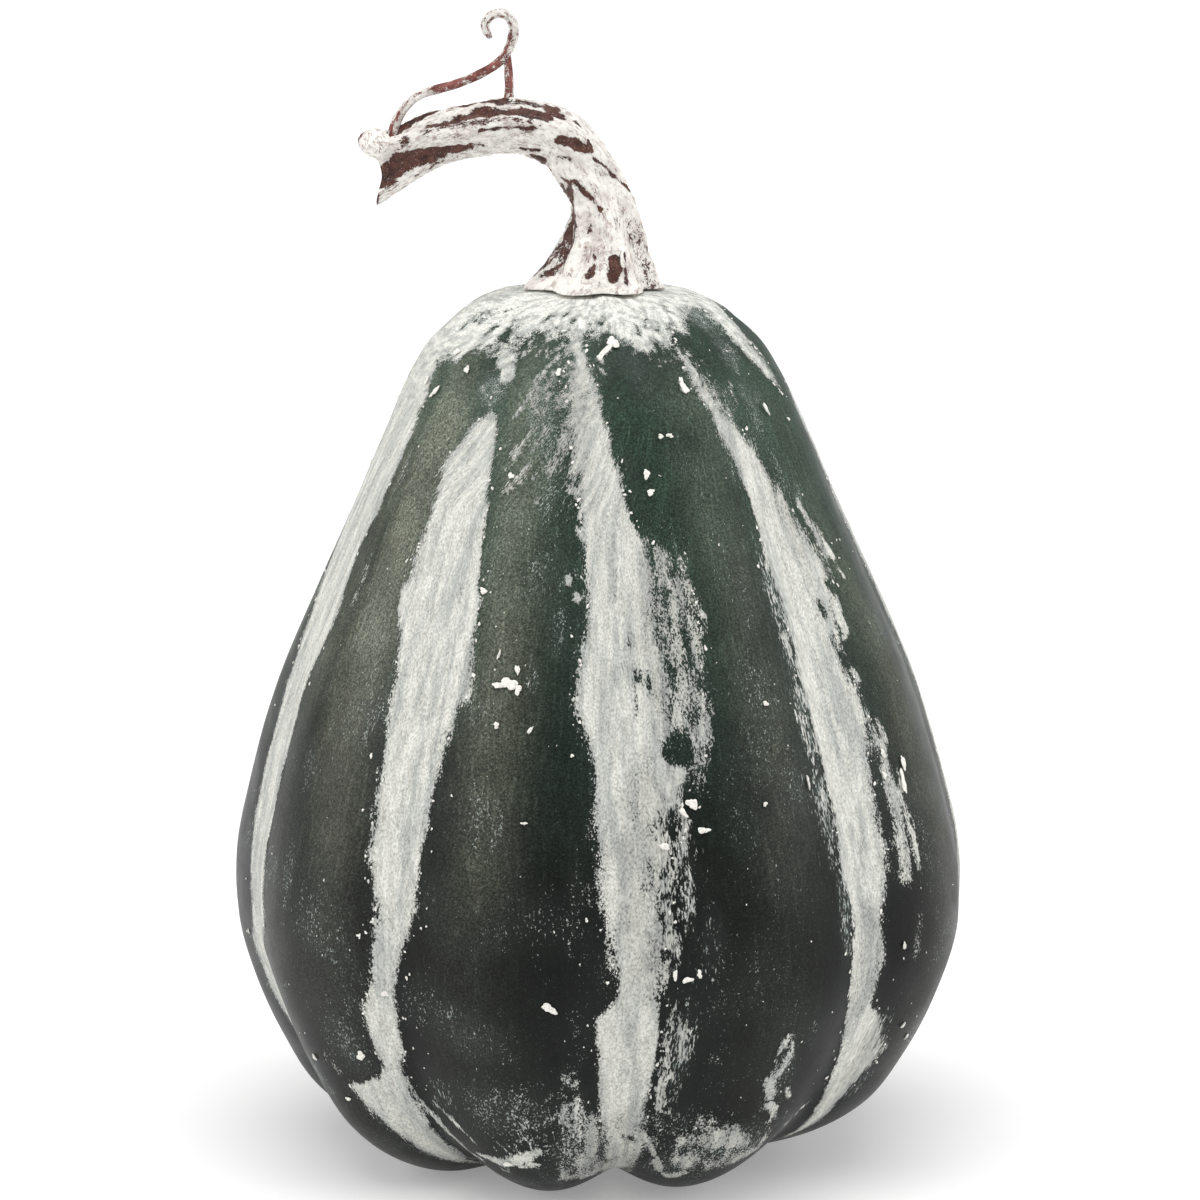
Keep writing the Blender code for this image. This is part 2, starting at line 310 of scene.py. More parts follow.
# The brush marks on the crown turn about the stem by so many degrees for each metre of skin above their end.
# Then where they turn most (azimuth), how far round that fades (degrees), and their end and reach (metres).
BRUSH_LEAN = 480.0
BRUSH_MIDDLE = -30.0
BRUSH_SPREAD = 50.0
BRUSH_END = 0.115
BRUSH_REACH = 0.09
# The brush marks are a noise in a space of their own: how far from its axis, and how far along it, the
# skin at a distance down lies there (metres). On the crown they are drawn out less round the stem.
BRUSH_GIRTH = ((0, 0.045), (0.030, 0.045), (0.085, 0.105))
BRUSH_DRAWN = ((0, 0), (0.030, 0.0126), (0.085, 0.0269), (0.45, 0.0707))
# How scratches lean (mean and spread, degrees), their half widths at the foot and the tip, and their broken
# width (mm).
SCRATCH_LEAN = (32, 14)
SCRATCH_WIDTHS = (0.5, 0.2)
SCRATCH_BREAK = 0.9
# Scratches in and under the edge of the crown's whitewash, leaning with the brush: seed, how many, the
# fullness left, the range down (mm), the range of azimuth, and the range of length (mm).
SCRATCHES = (
    (91, 36, -0.2, (39, 54), (-75, 60), (2.5, 6.0)),
    (92, 60, 0.5, (44, 66), (-70, 34), (2.0, 6.0)),
    (93, 46, 0.25, (66, 112), (-25, -7), (4.0, 9.0)),
    (94, 36, 0.3, (330, 352), (14, 38), (2.0, 6.0)),
    (95, 26, 0.1, (318, 350), (-20, -3), (3.0, 8.0)),
    (96, 30, 0.4, (48, 74), (100, 280), (2.0, 7.0)),
    (97, 40, 0.3, (322, 352), (105, 255), (3.0, 8.0)),
    (98, 30, -0.2, (40, 58), (80, 270), (2.5, 6.0)),
)

# Smears of whitewash away from the stripes: down (mm), azimuth, half length down the body and half width
# (mm), lean (degrees), fullness (1 solid, 0 half broken, below 0 haze), and its haze (0 to 1).
SMEARS = (
    (107, -6.2, 2.6, 2.8, 0, 1.3, 0.0),
    (122, -3.6, 2.6, 2.2, 0, 1.3, 0.0),
    (138, -6.4, 2.2, 2.0, 20, 1.2, 0.0),
    (144, -4.4, 2.4, 2.0, 0, 1.2, 0.0),
    (151, 21.4, 2.0, 1.8, 0, 1.2, 0.0),
    (58, -38.0, 5.5, 9.0, 0, 0.2, 0.4),
    (62, -32.0, 7.0, 6.0, -10, 0.6, 0.3),
    (67, -29.5, 6.0, 3.8, -10, 1.2, 0.0),
    (74, -34.0, 13.0, 7.5, -14, -0.45, 0.7),
    (58, -50.0, 6.0, 9.0, 30, -0.35, 0.5),
    (82, -16.0, 24.0, 9.5, -8, -0.55, 0.62),
    (74, -19.0, 10.0, 4.0, -20, -0.35, 0.6),
    (106, -13.0, 22.0, 5.0, 4, -0.75, 0.5),
    (90, -9.0, 5.5, 3.0, 0, 0.3, 0.3),
    (44, 62.0, 14.0, 16.0, 0, -0.45, 0.75),
    (62, 55.0, 16.0, 8.0, 20, -0.70, 0.6),
    (112, -60.0, 14.0, 5.0, 0, -0.60, 0.4),
    (150, -60.0, 18.0, 4.0, 0, -0.70, 0.4),
    (213, -57.0, 13.0, 7.0, 0, -0.62, 0.5),
    (250, -57.0, 20.0, 6.0, 0, -0.75, 0.5),
    (155, -8.0, 14.0, 5.0, 0, -0.85, 0.5),
    (172, -12.0, 8.0, 4.0, 0, -0.90, 0.4),
    (148, 32.0, 20.0, 8.0, 0, -1.10, 0.35),
    (248, -4.0, 22.0, 4.5, 0, -0.60, 0.4),
    (240, 13.5, 26.0, 4.5, 0, -0.15, 0.5),
    (262, 17.0, 20.0, 7.0, 0, -0.75, 0.5),
    (215, 24.0, 40.0, 14.0, 0, -1.15, 0.25),
    (256, 10.4, 10.0, 2.5, 0, 0.75, 0.0),
    (80, 44.0, 16.0, 6.0, 20, -0.45, 0.5),
    (96, 38.5, 14.0, 4.0, 14, -0.55, 0.5),
    (134, 61.0, 11.0, 3.6, 10, 0.0, 0.0),
    (150, 40.0, 28.0, 5.0, 0, -0.10, 0.8),
    (190, 39.6, 26.0, 5.6, 0, -0.26, 0.75),
    (222, 39.9, 26.0, 5.6, 0, -0.20, 0.8),
    (256, 41.0, 22.0, 4.6, 0, -0.20, 0.8),
    (212, 56.0, 16.0, 5.0, 0, -0.25, 0.4),
    (229, 58.6, 12.0, 4.0, 0, 0.10, 0.0),
    (246, 55.5, 9.0, 5.0, 0, 0.30, 0.0),
    (222, 66.0, 30.0, 8.0, 0, -0.95, 0.2),
    (272, 58.0, 14.0, 5.0, 10, -0.60, 0.3),
    (335, -43.0, 14.0, 7.0, -36, 0.6, 0.2),
    (317, -50.5, 9.0, 7.0, -30, -0.35, 0.3),
    (326, -15.0, 18.0, 28.0, 0, -0.78, 0.52),
    (342, -3.0, 20.0, 15.0, 0, -0.30, 0.65),
    (300, 13.0, 24.0, 7.0, 0, -0.75, 0.55),
    (312, 32.0, 22.0, 9.0, 0, -0.62, 0.5),
    (304, 18.8, 3.0, 3.6, 0, -0.45, 0.4),
    (345, 24.0, 13.0, 24.0, 0, -0.28, 0.65),
    (345, 42.0, 16.0, 4.0, 32, -0.35, 0.5),
    (330, 58.0, 14.0, 5.0, 20, -0.45, 0.5),
    (225, 100.0, 40.0, 8.0, 0, -0.75, 0.3),
    (300, 75.0, 22.0, 9.0, 0, -0.85, 0.3),
    (150, 137.0, 26.0, 7.0, 4, -0.55, 0.4),
    (210, 117.0, 22.0, 5.0, 0, -0.45, 0.4),
    (338, 140.0, 16.0, 16.0, 0, -0.60, 0.5),
    (176, 176.0, 30.0, 5.0, -4, -0.40, 0.4),
    (270, 158.0, 26.0, 6.0, 0, -0.55, 0.4),
    (80, 186.0, 18.0, 9.0, 10, -0.50, 0.6),
    (335, 190.0, 18.0, 14.0, 0, -0.55, 0.5),
    (120, 197.0, 24.0, 5.0, 0, -0.50, 0.4),
    (240, 218.0, 30.0, 7.0, 0, -0.50, 0.4),
    (338, 226.0, 14.0, 16.0, 0, -0.70, 0.5),
    (190, 255.0, 30.0, 6.0, 0, -0.45, 0.4),
    (86, 235.0, 16.0, 8.0, -10, -0.50, 0.6),
    (300, 262.0, 26.0, 7.0, 0, -0.60, 0.4),
)
# Strokes of whitewash: fullness, the width over which the edge breaks up (mm), then stations: down (mm),
# azimuth, half width (mm).
PAINT_STROKES = (
    (1.3, 0.5, (53, 7.4, 1.5), (56, 5.4, 0.6), (58, 3.9, 0.5), (60, 1.9, 0.9)),
    (0.9, 0.8, (70, 28.0, 0.4), (73, 28.4, 0.9)),
    (
        1.0, 1.5,
        (319, -36.7, 0.8), (332, -34.8, 1.0), (345, -32.2, 1.6),
        (354, -28.9, 1.2), (356, -24.5, 1.0),
    ),
    (0.1, 1.2, (327, -32.5, 0.5), (335, -28.2, 0.7), (344, -23.8, 0.5)),
    (1.2, 1.1, (351, -24.4, 1.0), (352, -19.0, 2.4), (348, -14.2, 2.8), (343, -10.3, 1.2)),
    (1.2, 1.0, (353, -14.9, 1.6), (351, -11.6, 1.2)),
    (0.15, 3.6, (323, -4.1, 3.0), (338, -3.2, 5.0), (360, -3.9, 6.0)),
    (0.6, 2.6, (328, -1.2, 2.0), (344, -1.4, 3.0), (367, -1.3, 4.0)),
    (0.3, 1.6, (309, -5.6, 1.2), (313, -4.2, 1.6)),
    (-0.3, 2.2, (298, -2.6, 0.8), (307, -4.8, 1.4), (316, -6.0, 1.0)),
    (1.0, 0.7, (324, -6.3, 0.9), (325, -5.6, 0.5)),
    (0.5, 1.4, (284, 11.4, 1.0), (293, 12.9, 1.8), (303, 13.1, 1.6)),
    (0.3, 0.9, (281, 10.1, 0.5), (296, 10.6, 0.6), (311, 12.0, 0.5)),
    (0.7, 1.2, (303, 10.6, 1.0), (316, 10.7, 1.4), (324, 10.8, 1.3)),
    (1.2, 0.8, (302, 13.3, 1.6), (303, 13.6, 1.0)),
    (0.9, 0.8, (326, 13.4, 1.0), (327, 12.6, 0.5)),
    (
        1.3, 0.7,
        (336, 8.4, 1.1), (346, 11.1, 0.9), (353, 13.0, 1.0),
        (358, 13.4, 1.8), (367, 17.5, 2.0), (361, 20.1, 1.4),
    ),
    (0.9, 2.4, (341, 16.6, 2.4), (340, 22.2, 5.0), (342, 27.7, 4.0)),
    (0.6, 2.8, (352, 17.8, 3.0), (354, 25.1, 4.0), (351, 33.0, 2.5)),
    (0.2, 1.8, (334, 18.5, 1.4), (331, 21.0, 1.0)),
    (1.0, 1.2, (298, 30.8, 2.0), (302, 30.0, 1.6)),
    (0.4, 1.8, (301, 32.2, 1.0), (309, 31.8, 1.6), (315, 30.6, 1.6)),
    (1.1, 1.2, (316, 29.6, 2.4), (322, 30.8, 2.4)),
    (1.0, 1.2, (327, 31.2, 2.0), (330, 33.4, 1.6)),
    (0.8, 1.2, (321, 34.2, 0.8), (325, 35.8, 1.3)),
    (0.6, 1.0, (340, 43.5, 0.5), (336, 46.0, 0.9)),
    (0.25, 2.4, (192, 55.0, 1.4), (210, 56.2, 3.0), (230, 57.0, 3.6), (249, 55.4, 3.2)),
    (1.0, 1.3, (214, 59.8, 0.8), (222, 59.2, 1.6)),
    (1.0, 1.3, (233, 60.2, 1.0), (241, 59.4, 1.8), (249, 59.0, 1.0)),
    (0.7, 1.2, (196, 57.6, 0.8), (204, 58.6, 1.2), (208, 57.4, 1.2)),
    (0.5, 1.4, (118, 57.4, 1.0), (127, 59.6, 1.6), (134, 60.4, 1.2)),
    (1.2, 0.8, (136, 62.4, 1.8), (139, 63.2, 1.6)),
    (1.0, 0.8, (144, 63.8, 1.0), (147, 64.4, 1.3)),
    (1.1, 1.2, (153, 58.8, 1.2), (160, 56.8, 2.4), (164, 57.6, 2.0), (167, 56.0, 1.6)),
    (0.9, 1.0, (178, 55.6, 1.4), (182, 56.4, 1.2)),
)
# Where strokes were lifted or missed: the fullness left, the broken width (mm), then stations as above.
LIFTED_STROKES = (
    (0.30, 2.5, (124, 14.0, 2.0), (140, 16.4, 6.0), (160, 16.2, 6.0), (180, 15.8, 5.5), (196, 15.4, 4.0)),
    (
        -0.6, 1.5,
        (118, 11.2, 0.5), (128, 12.0, 1.4), (138, 12.6, 1.6),
        (146, 13.1, 1.3), (159, 12.8, 1.5), (168, 13.1, 1.2),
    ),
    (-0.5, 1.5, (139, 12.0, 1.2), (143, 15.5, 1.3)),
    (-0.4, 1.5, (132, 17.3, 1.2), (137, 18.2, 1.6)),
    (-0.3, 1.4, (145, 16.9, 0.8), (150, 17.5, 1.0)),
    (-0.8, 1.6, (157, 17.5, 1.6), (167, 17.3, 2.0)),
    (-0.9, 1.2, (169, 13.9, 1.4), (174, 13.9, 1.2)),
    (-0.5, 1.2, (168, 7.4, 0.6), (173, 7.6, 0.7)),
    (-0.4, 1.4, (170, 9.6, 0.8), (175, 9.6, 0.8)),
    (-0.4, 1.5, (181, 14.6, 1.2), (186, 16.3, 1.2)),
    (-0.1, 1.2, (155, 6.5, 0.7), (161, 6.1, 0.6)),
    (-0.2, 0.7, (173, 6.8, 0.15), (186, 6.7, 0.15)),
    (-0.3, 1.0, (340, 5.6, 0.8), (342, 7.2, 1.0)),
    (-0.6, 1.2, (147, 57.2, 1.2), (151, 58.6, 1.5)),
    (-0.4, 1.2, (154, 52.8, 0.9), (159, 53.3, 0.9)),
    (-0.3, 1.5, (164, 53.4, 1.2), (175, 54.0, 1.5)),
    (0.30, 2.5, (112, 131.0, 3.0), (135, 132.5, 5.5), (160, 132.0, 5.0), (178, 131.0, 3.0)),
    (0.20, 2.5, (232, 120.0, 2.0), (256, 121.0, 4.5), (276, 121.0, 3.0)),
    (0.30, 2.5, (150, 172.0, 2.0), (176, 173.5, 5.5), (204, 172.5, 5.0), (226, 172.0, 2.0)),
    (0.20, 2.5, (270, 160.5, 2.0), (296, 161.0, 4.5), (318, 161.0, 3.0)),
    (0.30, 2.5, (96, 213.0, 2.0), (122, 214.5, 5.5), (150, 214.0, 5.0)),
    (0.20, 2.5, (206, 199.0, 2.5), (240, 199.5, 5.0), (262, 200.0, 3.0)),
    (0.30, 2.5, (180, 251.0, 2.0), (206, 252.0, 5.0), (238, 251.0, 4.0)),
    (-0.5, 1.4, (186, 208.0, 1.2), (200, 209.0, 1.6)),
    (-0.5, 1.4, (131, 127.0, 1.0), (141, 127.6, 1.4)),
    (-0.5, 0.8, (360, 15.6, 1.4), (363, 16.6, 1.6)),
)
# Round marks that a drop left in the wet paint: down (mm), azimuth, radius of the dark middle and of the
# rim (mm).
DROP_RINGS = ((196.0, 13.6, 5.6, 8.6, 1.0), (221.0, 11.4, 4.0, 6.2, 0.35), (357.0, -19.1, 0.9, 1.9, 1.0))
# Where brush lines show most, and where the paint is worn to islands and its cream darkened, partly as
# painted
# shade along the grooves: down (mm), azimuth, half length, half width (mm).
LINE_PLACES = (
    (246, 13.5, 34, 9),
    (240, 39.0, 50, 7),
    (300, 12.5, 24, 7),
    (335, -30.0, 22, 9),
    (312, 54.0, 26, 8),
    (346, 44.0, 20, 9),
    (50, 60.0, 20, 20),
    (20, 0.0, 36, 300),
    (160, 39.5, 40, 7),
)
WORN_AND_SHADED_PLACES = (
    (164, 15.0, 42, 10),
    (86, -10.0, 30, 9),
    (240, 7.5, 36, 9),
    (345, 13.0, 18, 34),
    (310, 12.0, 26, 5),
    (318, 55.0, 24, 6),
    (108, 52.0, 30, 4),
    (278, 46.0, 20, 6),
    (150, 99.0, 40, 5),
    (260, 88.0, 34, 6),
    (120, 122.0, 30, 9),
    (300, 131.0, 26, 8),
    (210, 172.0, 50, 7),
    (96, 163.0, 20, 9),
    (150, 212.0, 46, 9),
    (320, 205.0, 30, 12),
    (240, 242.0, 44, 8),
    (110, 250.0, 24, 8),
)

# Bronze overspray on the lobes, partly painted sheen: the bands also stand in for the satin sheen that the
# side lights leave on the lobes. Azimuth of each band's middle, its width (degrees), strength at the top and
# low down.
BRONZE_AND_SHEEN_BANDS = (
    (-48.5, 7.5, 0.85, 0.92),
    (-62.0, 5.0, 0.35, 0.55),
    (-20.5, 6.5, 0.40, 0.50),
    (29.5, 6.5, 0.20, 0.26),
    (66.0, 8.0, 0.06, 0.50),
    (106.5, 11.0, 0.38, 0.40),
    (148.0, 8.0, 0.55, 0.60),
    (184.0, 8.5, 0.50, 0.55),
    (228.0, 8.0, 0.55, 0.65),
    (264.0, 9.0, 0.45, 0.60),
)

# Thick dabs of whitewash: down (mm), azimuth, half length and half width (mm), lean (degrees).
DABS = (
    (53.6, 7.0, 2.5, 1.8, 20),
    (57, 4.3, 4.2, 0.8, 42),
    (60, 1.9, 1.2, 0.9, 42),
    (73, 28.4, 1.8, 1.4, 0),
    (70, 28.0, 1.6, 0.6, 0),
    (89, 17.9, 0.7, 1.0, 0),
    (89, 20.6, 0.7, 1.2, 0),
    (102, 12.8, 1.4, 1.2, 0),
    (108, 13.4, 1.0, 1.3, 0),
    (68, -46.0, 1.4, 1.0, 20),
    (78, -57.0, 2.4, 0.9, 30),
    (75, -64.5, 1.3, 0.8, 10),
    (62, -55.5, 1.0, 1.5, 30),
    (103, -22.5, 1.1, 1.0, 0),
    (66, -12.0, 1.2, 1.0, 0),
    (143, -25.0, 1.0, 1.4, 0),
    (84, 58.0, 1.9, 0.8, -20),
    (90, 68.2, 0.6, 0.6, 0),
    (174.4, -18.6, 1.1, 2.0, -16),
    (173.2, -17.0, 1.4, 2.4, 0),
    (174.2, -15.6, 1.5, 1.9, 12),
    (175.6, -14.6, 1.5, 1.2, 20),
    (169, -15.2, 1.6, 0.8, 0),
    (164, -19.2, 1.3, 0.5, 12),
    (188, -18.0, 1.0, 1.0, 0),
    (189, -11.8, 1.6, 0.5, 30),
    (220, -12.0, 0.5, 1.0, 0),
    (183, 31.2, 0.9, 0.9, 0),
    (216, 27.6, 0.8, 0.7, 0),
    (223, 16.8, 1.1, 1.8, 0),
    (211, 37.0, 1.9, 0.5, 0),
    (208, 56.5, 1.4, 1.0, 0),
    (215, 55.4, 1.1, 1.1, 0),
    (213, 61.5, 2.6, 1.1, 0),
    (219, 60.0, 3.6, 1.3, 0),
    (282, -8.0, 1.5, 2.4, 25),
    (284, -36.3, 1.2, 1.2, 0),
    (311, -43.7, 1.8, 1.6, 10),
    (318, -56.5, 1.4, 0.8, -20),
    (333, -51.0, 0.9, 1.1, 0),
    (271, 11.0, 1.5, 0.9, 0),
    (273, 12.8, 0.9, 1.8, 0),
    (271, 14.6, 1.4, 0.8, -20),
    (214, 15.2, 1.9, 1.7, 0),
    (217, 13.8, 1.6, 1.0, -40),
    (228, 10.2, 0.9, 2.0, 0),
    (274, 54.0, 1.4, 0.6, 0),
    (307, 60.0, 1.2, 0.6, 20),
    (314, 63.5, 1.1, 0.5, 20),
    (352, -17.6, 1.6, 1.6, 0),
)
# Seeded specks: how many lie anywhere on the lobes, how many larger chips lie close to the stripes'
# edges, and how far down they go (mm). Then how far the dabs and the specks stand up (metres).
SPECKS = 200
CHIPS = 400
LOWEST_SPECK = 335
DAB_HEIGHT = 0.0004
SPECK_HEIGHT = 0.0002

# Stem: the middle line of the post and arm (X, Z), and the reach of the ridges from it, as in the solids.
STEM_LINE = (
    (-0.0022, 0.3042, 0.0245),
    (-0.0016, 0.3056, 0.0236),
    (-0.0006, 0.3081, 0.0214),
    (0.0003, 0.3123, 0.0190),
    (0.0010, 0.3171, 0.0165),
    (0.0014, 0.3230, 0.0144),
    (0.0013, 0.3286, 0.0127),
    (0.0000, 0.3348, 0.0115),
    (-0.0046, 0.3436, 0.0106),
    (-0.0134, 0.3546, 0.0106),
    (-0.0274, 0.3596, 0.0100),
    (-0.0411, 0.3587, 0.0097),
    (-0.0548, 0.3557, 0.0096),
    (-0.0675, 0.3497, 0.0101),
    (-0.0750, 0.3460, 0.0118),
)
RIDGE_PLACES = (0.00, 0.22, 0.47, 0.75, 1.00)
RIDGES = (
    (0.0, 10.0, 60.0, 90.0, 28.0),
    (55.0, 90.0, 160.0, 165.0, 158.0),
    (108.0, 135.0, 205.0, 215.0, 205.0),
    (172.0, 200.0, 255.0, 265.0, 250.0),
    (235.0, 260.0, 305.0, 315.0, 295.0),
    (300.0, 320.0, 365.0, 375.0, 338.0),
)
RIDGE_SHARPNESS = 9.0
RIDGE_HEIGHT = ((0.00, 0.34), (0.10, 0.30), (0.22, 0.20), (0.50, 0.20), (0.80, 0.26), (1.00, 0.42))
UPRIGHT_HEIGHT = 0.020
END_POINTS = 0.0046
END_SLANT = 0.22
END_TURN = 0.32
END_START = 0.95
# The hollow in the cut end: rings at these shares of its rim's reach, and how deep each lies.
END_SHARES = (0.90, 0.75, 0.60, 0.42, 0.25, 0.10)
END_DEPTHS = (0.0006, 0.0018, 0.0027, 0.0036, 0.0045, 0.0048)
# The stem's own unevenness, its whitewash and how far both are drawn in.
STEM_WAVES = 0.00030
STEM_DENTS = 0.00022
STEM_COAT = 0.00035
STEM_INSET = 0.0005
# The space that the stem's brush marks are a noise in: its girth, and how far the arm is drawn out (metres).
STEM_GIRTH = 0.011
STEM_DRAWN = 0.0286
# The gap between the stem's foot and the crown, and how much more of it there is in front.
TOUCH_GAP = 0.0003
FRONT_GAP = 0.0006
PEG_RADIUS = 0.008
PEG_LENGTH = 0.012
KNOB_MIDDLE = (-0.0766, -0.0045, 0.3541)
KNOB_REACH = (0.0060, 0.0050, 0.0046)
KNOB_LEAN = 20.0
STEM_ROWS = 260
STEM_COLUMNS = 240
TENDRIL_LINE = (
    (-0.0712, 0.3530, 0.0021),
    (-0.0702, 0.3599, 0.0019),
    (-0.0682, 0.3638, 0.0018),
    (-0.0657, 0.3672, 0.0017),
    (-0.0611, 0.3704, 0.0017),
    (-0.0547, 0.3725, 0.0017),
    (-0.0487, 0.3742, 0.0017),
    (-0.0427, 0.3766, 0.0017),
    (-0.0376, 0.3793, 0.0017),
    (-0.0333, 0.3826, 0.0018),
    (-0.0309, 0.3865, 0.0019),
    (-0.0297, 0.3899, 0.0020),
    (-0.0294, 0.3933, 0.0020),
    (-0.0307, 0.3966, 0.0019),
    (-0.0341, 0.3982, 0.0018),
    (-0.0375, 0.3971, 0.0018),
    (-0.0392, 0.3942, 0.0017),
    (-0.0384, 0.3913, 0.0015),
    (-0.0370, 0.3897, 0.0012),
)
STRUT_LINE = (
    (-0.0318, 0.3850, 0.0013),
    (-0.0313, 0.3790, 0.0016),
    (-0.0311, 0.3710, 0.0017),
    (-0.0311, 0.3660, 0.0023),
)

# Where the stem is bare of whitewash: how bare (1 all, 0.5 half), the width over which the paint breaks
# up (mm), then the stroke's stations: along the stem's line from the foot (mm), angle round it (degrees),
# half width (mm). The angle is 0 on the outside of the bend, 90 in front and 180 on the inside.
STEM_BARE = (
    (
        1.0, 0.9,
        (121, 114, 2.6), (117, 109, 3.6), (113, 105, 3.9),
        (109, 111, 3.4), (104, 124, 2.8), (99, 125, 2.2),
    ),
    (1.0, 0.9, (99, 125, 2.2), (93, 125, 1.5), (88, 130, 0.9), (84, 133, 0.4)),
    (1.0, 0.7, (121, 132, 1.0), (118, 133, 1.4)),
    (0.6, 1.2, (112, 69, 1.2), (108, 60, 1.2)),
    (0.7, 1.2, (100, 42, 1.2), (97, 52, 1.2), (93, 53, 1.3), (90, 49, 1.2), (87, 47, 1.5)),
    (
        1.0, 0.8,
        (87, 47, 1.3), (82, 44, 1.8), (78, 45, 1.9), (74, 50, 1.9),
        (69, 51, 2.1), (66, 51, 2.2), (63, 52, 2.0),
    ),
    (1.0, 0.8, (64, 18, 1.0), (62, 25, 1.5), (59, 35, 1.2)),
    (
        1.0, 0.6,
        (116, 8, 1.6), (109, 5, 1.7), (104, 5, 1.4), (98, 8, 0.9),
        (92, 12, 0.9), (86, 12, 0.9), (75, 15, 1.1),
    ),
    (0.9, 0.6, (84, 89, 0.3), (80, 88, 0.5), (76, 86, 0.5), (72, 88, 0.4), (68, 86, 0.6), (64, 79, 0.5)),
    (1.0, 0.7, (57, 89, 0.9), (55, 79, 1.5), (52, 71, 2.0), (50, 63, 1.5), (47, 53, 0.7)),
    (1.0, 0.6, (50, 45, 0.6), (49, 49, 1.1), (47, 52, 0.9)),
    (0.9, 0.6, (55, 23, 0.6), (53, 25, 0.6)),
    (1.0, 0.7, (65, 154, 0.5), (61, 153, 1.1), (57, 150, 1.5)),
    (0.9, 0.6, (45, 57, 0.2), (42, 50, 0.4), (37, 42, 0.5), (34, 32, 0.5), (30, 12, 0.6)),
    (0.9, 0.7, (41, 115, 0.8), (36, 110, 0.5), (33, 101, 0.3), (29, 93, 0.3)),
    (
        1.0, 1.0,
        (45, 143, 0.8), (42, 133, 1.5), (38, 147, 1.6),
        (33, 159, 1.5), (27, 155, 1.8), (22, 145, 1.6),
    ),
    (0.5, 1.6, (22, 145, 1.6), (17, 143, 2.6), (13, 154, 2.8), (9, 156, 2.4), (6, 158, 1.8), (3, 163, 1.2)),
    (0.9, 1.0, (42, 165, 1.0), (34, 170, 1.6), (26, 168, 2.0), (18, 166, 2.8)),
    (0.5, 1.6, (18, 166, 3.0), (10, 172, 3.0), (4, 176, 2.0)),
    (1.0, 0.4, (12, 75, 1.9), (9, 74, 2.1), (6, 76, 1.5)),
    (1.0, 0.4, (12.6, 79, 1.0), (12.6, 71, 1.0)),
    (1.0, 0.4, (7, 79, 1.0), (5.5, 76, 1.0)),
    (0.8, 0.8, (13, 102, 0.3), (10, 99, 0.5), (7, 101, 1.4)),
    (0.9, 0.6, (14, 61, 0.3), (9, 63, 0.4), (4, 62, 0.4)),
    (0.22, 1.8, (24, 30, 2.6), (15, 20, 4.2), (5, 20, 4.0), (0, 20, 3.0)),
    (0.42, 1.2, (101, 62, 1.4), (90, 66, 1.5), (80, 70, 1.3), (68, 70, 1.2)),
    (0.6, 0.9, (77, 22, 1.0), (70, 22, 1.2), (63, 26, 1.2)),
    (0.7, 0.8, (24, 113, 0.7), (21, 114, 0.7)),
    (0.6, 0.8, (25, 71, 0.4), (22, 71, 0.5)),
    (0.9, 0.5, (121, 20, 0.9), (121, 28, 0.8)),
    (0.9, 0.6, (121, 152, 0.9), (120.5, 143, 0.6)),
    (0.8, 0.6, (111, 148, 0.3), (106, 153, 0.3), (100, 148, 0.3)),
    (0.8, 0.6, (69, 141, 0.3), (65, 139, 0.3), (61, 131, 0.3)),
    (0.6, 0.9, (53, 116, 0.5), (48, 103, 0.5)),
    (0.8, 1.2, (118, 235, 2.2), (104, 238, 2.4), (90, 242, 1.6), (78, 246, 0.6)),
    (0.9, 1.2, (112, 300, 1.2), (96, 312, 1.8), (80, 308, 2.0), (66, 300, 1.2)),
    (0.8, 1.2, (72, 190, 1.0), (58, 186, 1.8), (46, 190, 1.6), (34, 196, 1.0)),
    (0.7, 1.4, (52, 262, 1.2), (40, 252, 2.0), (28, 244, 2.2), (14, 236, 2.6), (4, 232, 2.2)),
    (0.6, 1.6, (30, 330, 1.2), (18, 322, 2.6), (7, 316, 3.4)),
    (0.8, 1.0, (16, 280, 1.2), (8, 278, 2.0)),
)
# The broken widths above are multiplied by this.
STEM_BREAK_SCALE = 1.9
# Patches of whitewash and bare resin on the tendril, by the distance along it (mm): how white it is.
TENDRIL_WHITE = (
    (0, 0.1),
    (6, 0.3),
    (14, 0.9),
    (22, 1.1),
    (25, 0.3),
    (27, -0.4),
    (34, -0.5),
    (38, 0.2),
    (42, -0.4),
    (50, -0.2),
    (54, 0.6),
    (58, 0.3),
    (64, 0.6),
    (72, 0.7),
    (78, 0.5),
    (86, 0.8),
    (94, 0.8),
    (100, -0.6),
)
STRUT_WHITE = ((0, 0.4), (3, 0.0), (9, -0.2), (14, 0.0), (19, -0.3))


def tone(red, green, blue):
    """A colour given as the eye reads it, 0 to 255, as the linear values that a shader takes."""
    seen = np.array((red, green, blue)) / 255
    return (*np.where(seen <= 0.04045, seen / 12.92, ((seen + 0.055) / 1.055) ** 2.4), 1.0)


def smooth_curve(points, steps=16):
    """A curve through the points, with each tangent weighted by the lengths of the spans beside it."""
    knots = np.asarray(points, float)
    knots = np.vstack([2 * knots[0] - knots[1], knots, 2 * knots[-1] - knots[-2]])
    share = np.linspace(0, 1, steps, endpoint=False)[:, None]
    spans = []
    for before, start, end, after in zip(knots, knots[1:], knots[2:], knots[3:]):
        left, span, right = (np.linalg.norm(step) for step in (start - before, end - start, after - end))
        leave = span * ((start - before) / left - (end - before) / (left + span)) + end - start
        arrive = end - start + span * ((after - end) / right - (after - start) / (span + right))
        spans.append(
            (2 * share**3 - 3 * share**2 + 1) * start
            + (share**3 - 2 * share**2 + share) * leave
            + (3 * share**2 - 2 * share**3) * end
            + (share**3 - share**2) * arrive
        )
    return np.vstack([*spans, knots[-2]])


def run_lengths(curve):
    """How far along the curve each of its points lies, by its first two columns."""
    return np.concatenate([[0], np.cumsum(np.linalg.norm(np.diff(curve[:, :2], axis=0), axis=1))])


